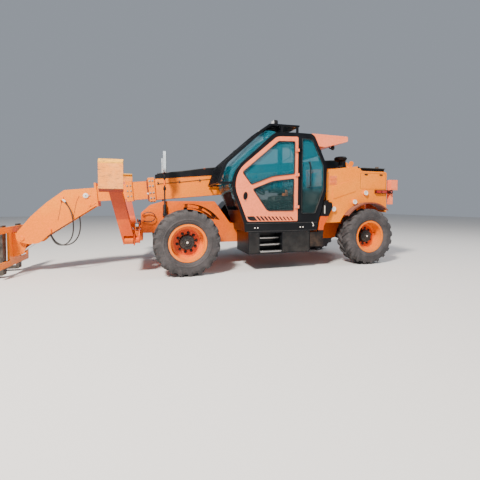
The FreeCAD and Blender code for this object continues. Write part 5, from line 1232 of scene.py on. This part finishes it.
# boom millimetres: each section's front, its half height and the back end of its welds
outer = {
    "front": -4533, "collar": 228, "half": 199, "levels": (-186, 214),
    "carrier": ([-4388, -3130, 20], [304, 372, 399]),
    "pipe": [(-4, -208, 208), (-16, -212, 190), (-17, -212, 60), (-17, -212, -110), (-16, -212, -186),
             (-2, -208, -204)],
    "hoses": 4, "clampPitch": 820, "clipPitch": 410,
}
middle = {"front": -4945, "half": 170, "back": -4550, "centre": 14}


# a weld bead or cable on the boom's side: its height waves along the run
def sideRun(run, out, rise, radius, sides):
    return alongPath(np.stack(np.broadcast_arrays(run, float(out), rise), -1), circle(radius, sides))


# wear-pad screws on the collar, corner welds, the valve pipe, and hoses along the carrier
def outerDress(spec):
    steel, weld, dark, hose = [], [], [], []
    x0 = spec["front"]
    for dx in (32, 88):
        for side in (-1, 1):
            for dz in (-150, -50, 80, 180):
                steel += bolt((x0 + dx, side * spec["collar"], dz), "y", side, 24, 14)
        for dy in (-150, -50, 50, 150):
            steel += bolt((x0 + dx, dy, 242), "z", 1, 24, 14)
            steel += bolt((x0 + dx, dy, -214), "z", -1, 24, 14)
    run = np.linspace(x0 + 128, 150, 260)
    for side in (-1, 1):
        for level in spec["levels"]:
            rise = level - np.sign(level) * (3 + 0.8 * np.sin(run / 7))
            weld.append(sideRun(run, side * spec["half"], rise, 4.5, 6))
    # dark pipe down the collar's side, with a pale ring
    dark.append(cable(np.array(spec["pipe"]) + (x0, 0, 0), 6, 13, 14, lengthways))
    ring = revolve([(13, -78), (19, -76), (19, -46), (13, -44)], (x0 - 17, -212, 0), "z", 20)
    for level in (60, -80):
        dark.append(roundBox((x0 - 34, -229, level), (x0 + 3, -196, level + 22), 4))
    # a thin cable along the side in clips
    run = np.linspace(x0 + 165, -1200, 60)
    hose.append(sideRun(run, -206, 132 - 14 * np.cos((run - run[0]) / spec["clipPitch"]), 5, 8))
    for k in range(8):
        left = x0 + 175 + spec["clipPitch"] * k
        hose.append(roundBox((left, -214, 106), (left + 24, -199, 156), 3, 2))
    # four hoses in the carrier's top, with a little sag between their clamps
    run = np.linspace(x0 + 190, -60, 90)
    for k in range(spec["hoses"]):
        sag = 6 * np.sin((run - run[0]) / 900 * np.pi + k) ** 2
        hose.append(sideRun(run, -120 + 46 * k, np.interp(run, *spec["carrier"]) + 13 - sag, 13, 10))
    for x in np.arange(x0 + 300, -100, spec["clampPitch"]):
        rise = float(np.interp(x, *spec["carrier"]))
        dark.append(roundBox((x, -146, rise - 4), (x + 34, 58, rise + 31), 5))
        for dy in (-138, 48):
            steel += bolt((x + 17, dy, rise + 31), "z", 1, 12, 6)
    return [("boltSteel", steel), ("boomOrange", weld), ("fenderBrown", dark), ("hoseRubber", hose),
            ("paleCap", [ring])]


makePiece("boomOuterFittings", outerDress(outer), "boom", onBoom)


# telescopic section: the screws of its wear pads, and welds along its corners
def sectionDress(spec):
    steel, weld = [], []
    front, half, centre = spec["front"], spec["half"], spec["centre"]
    run = np.linspace(front + 130, spec["back"], 60)
    for side in (-1, 1):
        for dx in (30, 90):
            for dz in (-100, 0, 100):
                steel += bolt((front + dx, side * (half + 22), centre + dz), "y", side, 20, 12)
        for up in (-1, 1):
            rise = centre + up * (half - 2.5 - 0.7 * np.sin(run / 6))
            weld.append(sideRun(run, side * (half - 0.5), rise, 3.5, 6))
    return [("boltSteel", steel), ("boomOrange", weld)]


makePiece("boomMiddleFittings", sectionDress(middle), "boom_middle_section", onBoom)

# folds and weld: along, up; the hose's fitting: distances along its axis
head = {
    "pin": (-5645, -11, 46), "face": 150, "weld": [(-5470, -150), (-5560, -206), (-5640, -252)],
    "folds": [[(-5757, -4), (-5764, -30), (-5810, -114), (-5886, -373)], [(-6030, -46), (-6046, -80), (-6141, -420)]],
    "fittingAt": (-5985, -170.5, -98), "fittingWay": (-0.616, 0, 0.788),
}


# the head: pin caps with keeper plates, folded plate edges, the outer hose's fitting
def headDress(spec):
    steel, pale, dark, orange = [], [], [], []
    x, z, r = spec["pin"]
    for side in (-1, 1):
        face = side * spec["face"]
        pale.append(revolve([(0, side * 22), (r - 8, side * 22), (r, side * 17), (r, 0)], (x, face, z), "y", 36))
        low, high = sorted((face, face + side * 30))
        steel.append(roundBox((x - 14, low, z - 8), (x + 14, high, z + 8), 3, 2))
        steel += bolt((x + 62, face, z - 6), "y", side, 18, 11)
        keeper = rounded([(x - 20, z - 18, 8), (x - 20, z + 18, 8), (x + 82, z + 14, 12), (x + 82, z - 22, 12)], 4)
        orange.append(slab(keeper, *sorted((face, face + side * 5)), "y", 1.5))
        # two shallow folds down the plate with painted shade in their grooves, and the lower edge's weld
        for line in spec["folds"]:
            dark.append(strap([(px, face, pz) for px, pz in line], 6, 9, 3, 0.8))
        dark.append(strap([(px, face, pz) for px, pz in spec["weld"]], 6, 5, 4, 1))
    way, start = np.array(spec["fittingWay"]), np.array(spec["fittingAt"])
    for chunks, ends, radius, sides in ((pale, (4, 34, 64), 17.5, 20), (steel, (-6, 6), 21, 6),
                                        (pale, (64, 92), 14, 20)):
        chunks.append(alongPath([start + way * end for end in ends], circle(radius, sides)))
    return [("boltSteel", steel), ("paleCap", pale), ("boomOrange", orange), ("fenderBrown", dark)]


makePiece("boomHeadFittings", headDress(head), "boom_inner_section", onBoom)
print("boom fitted")
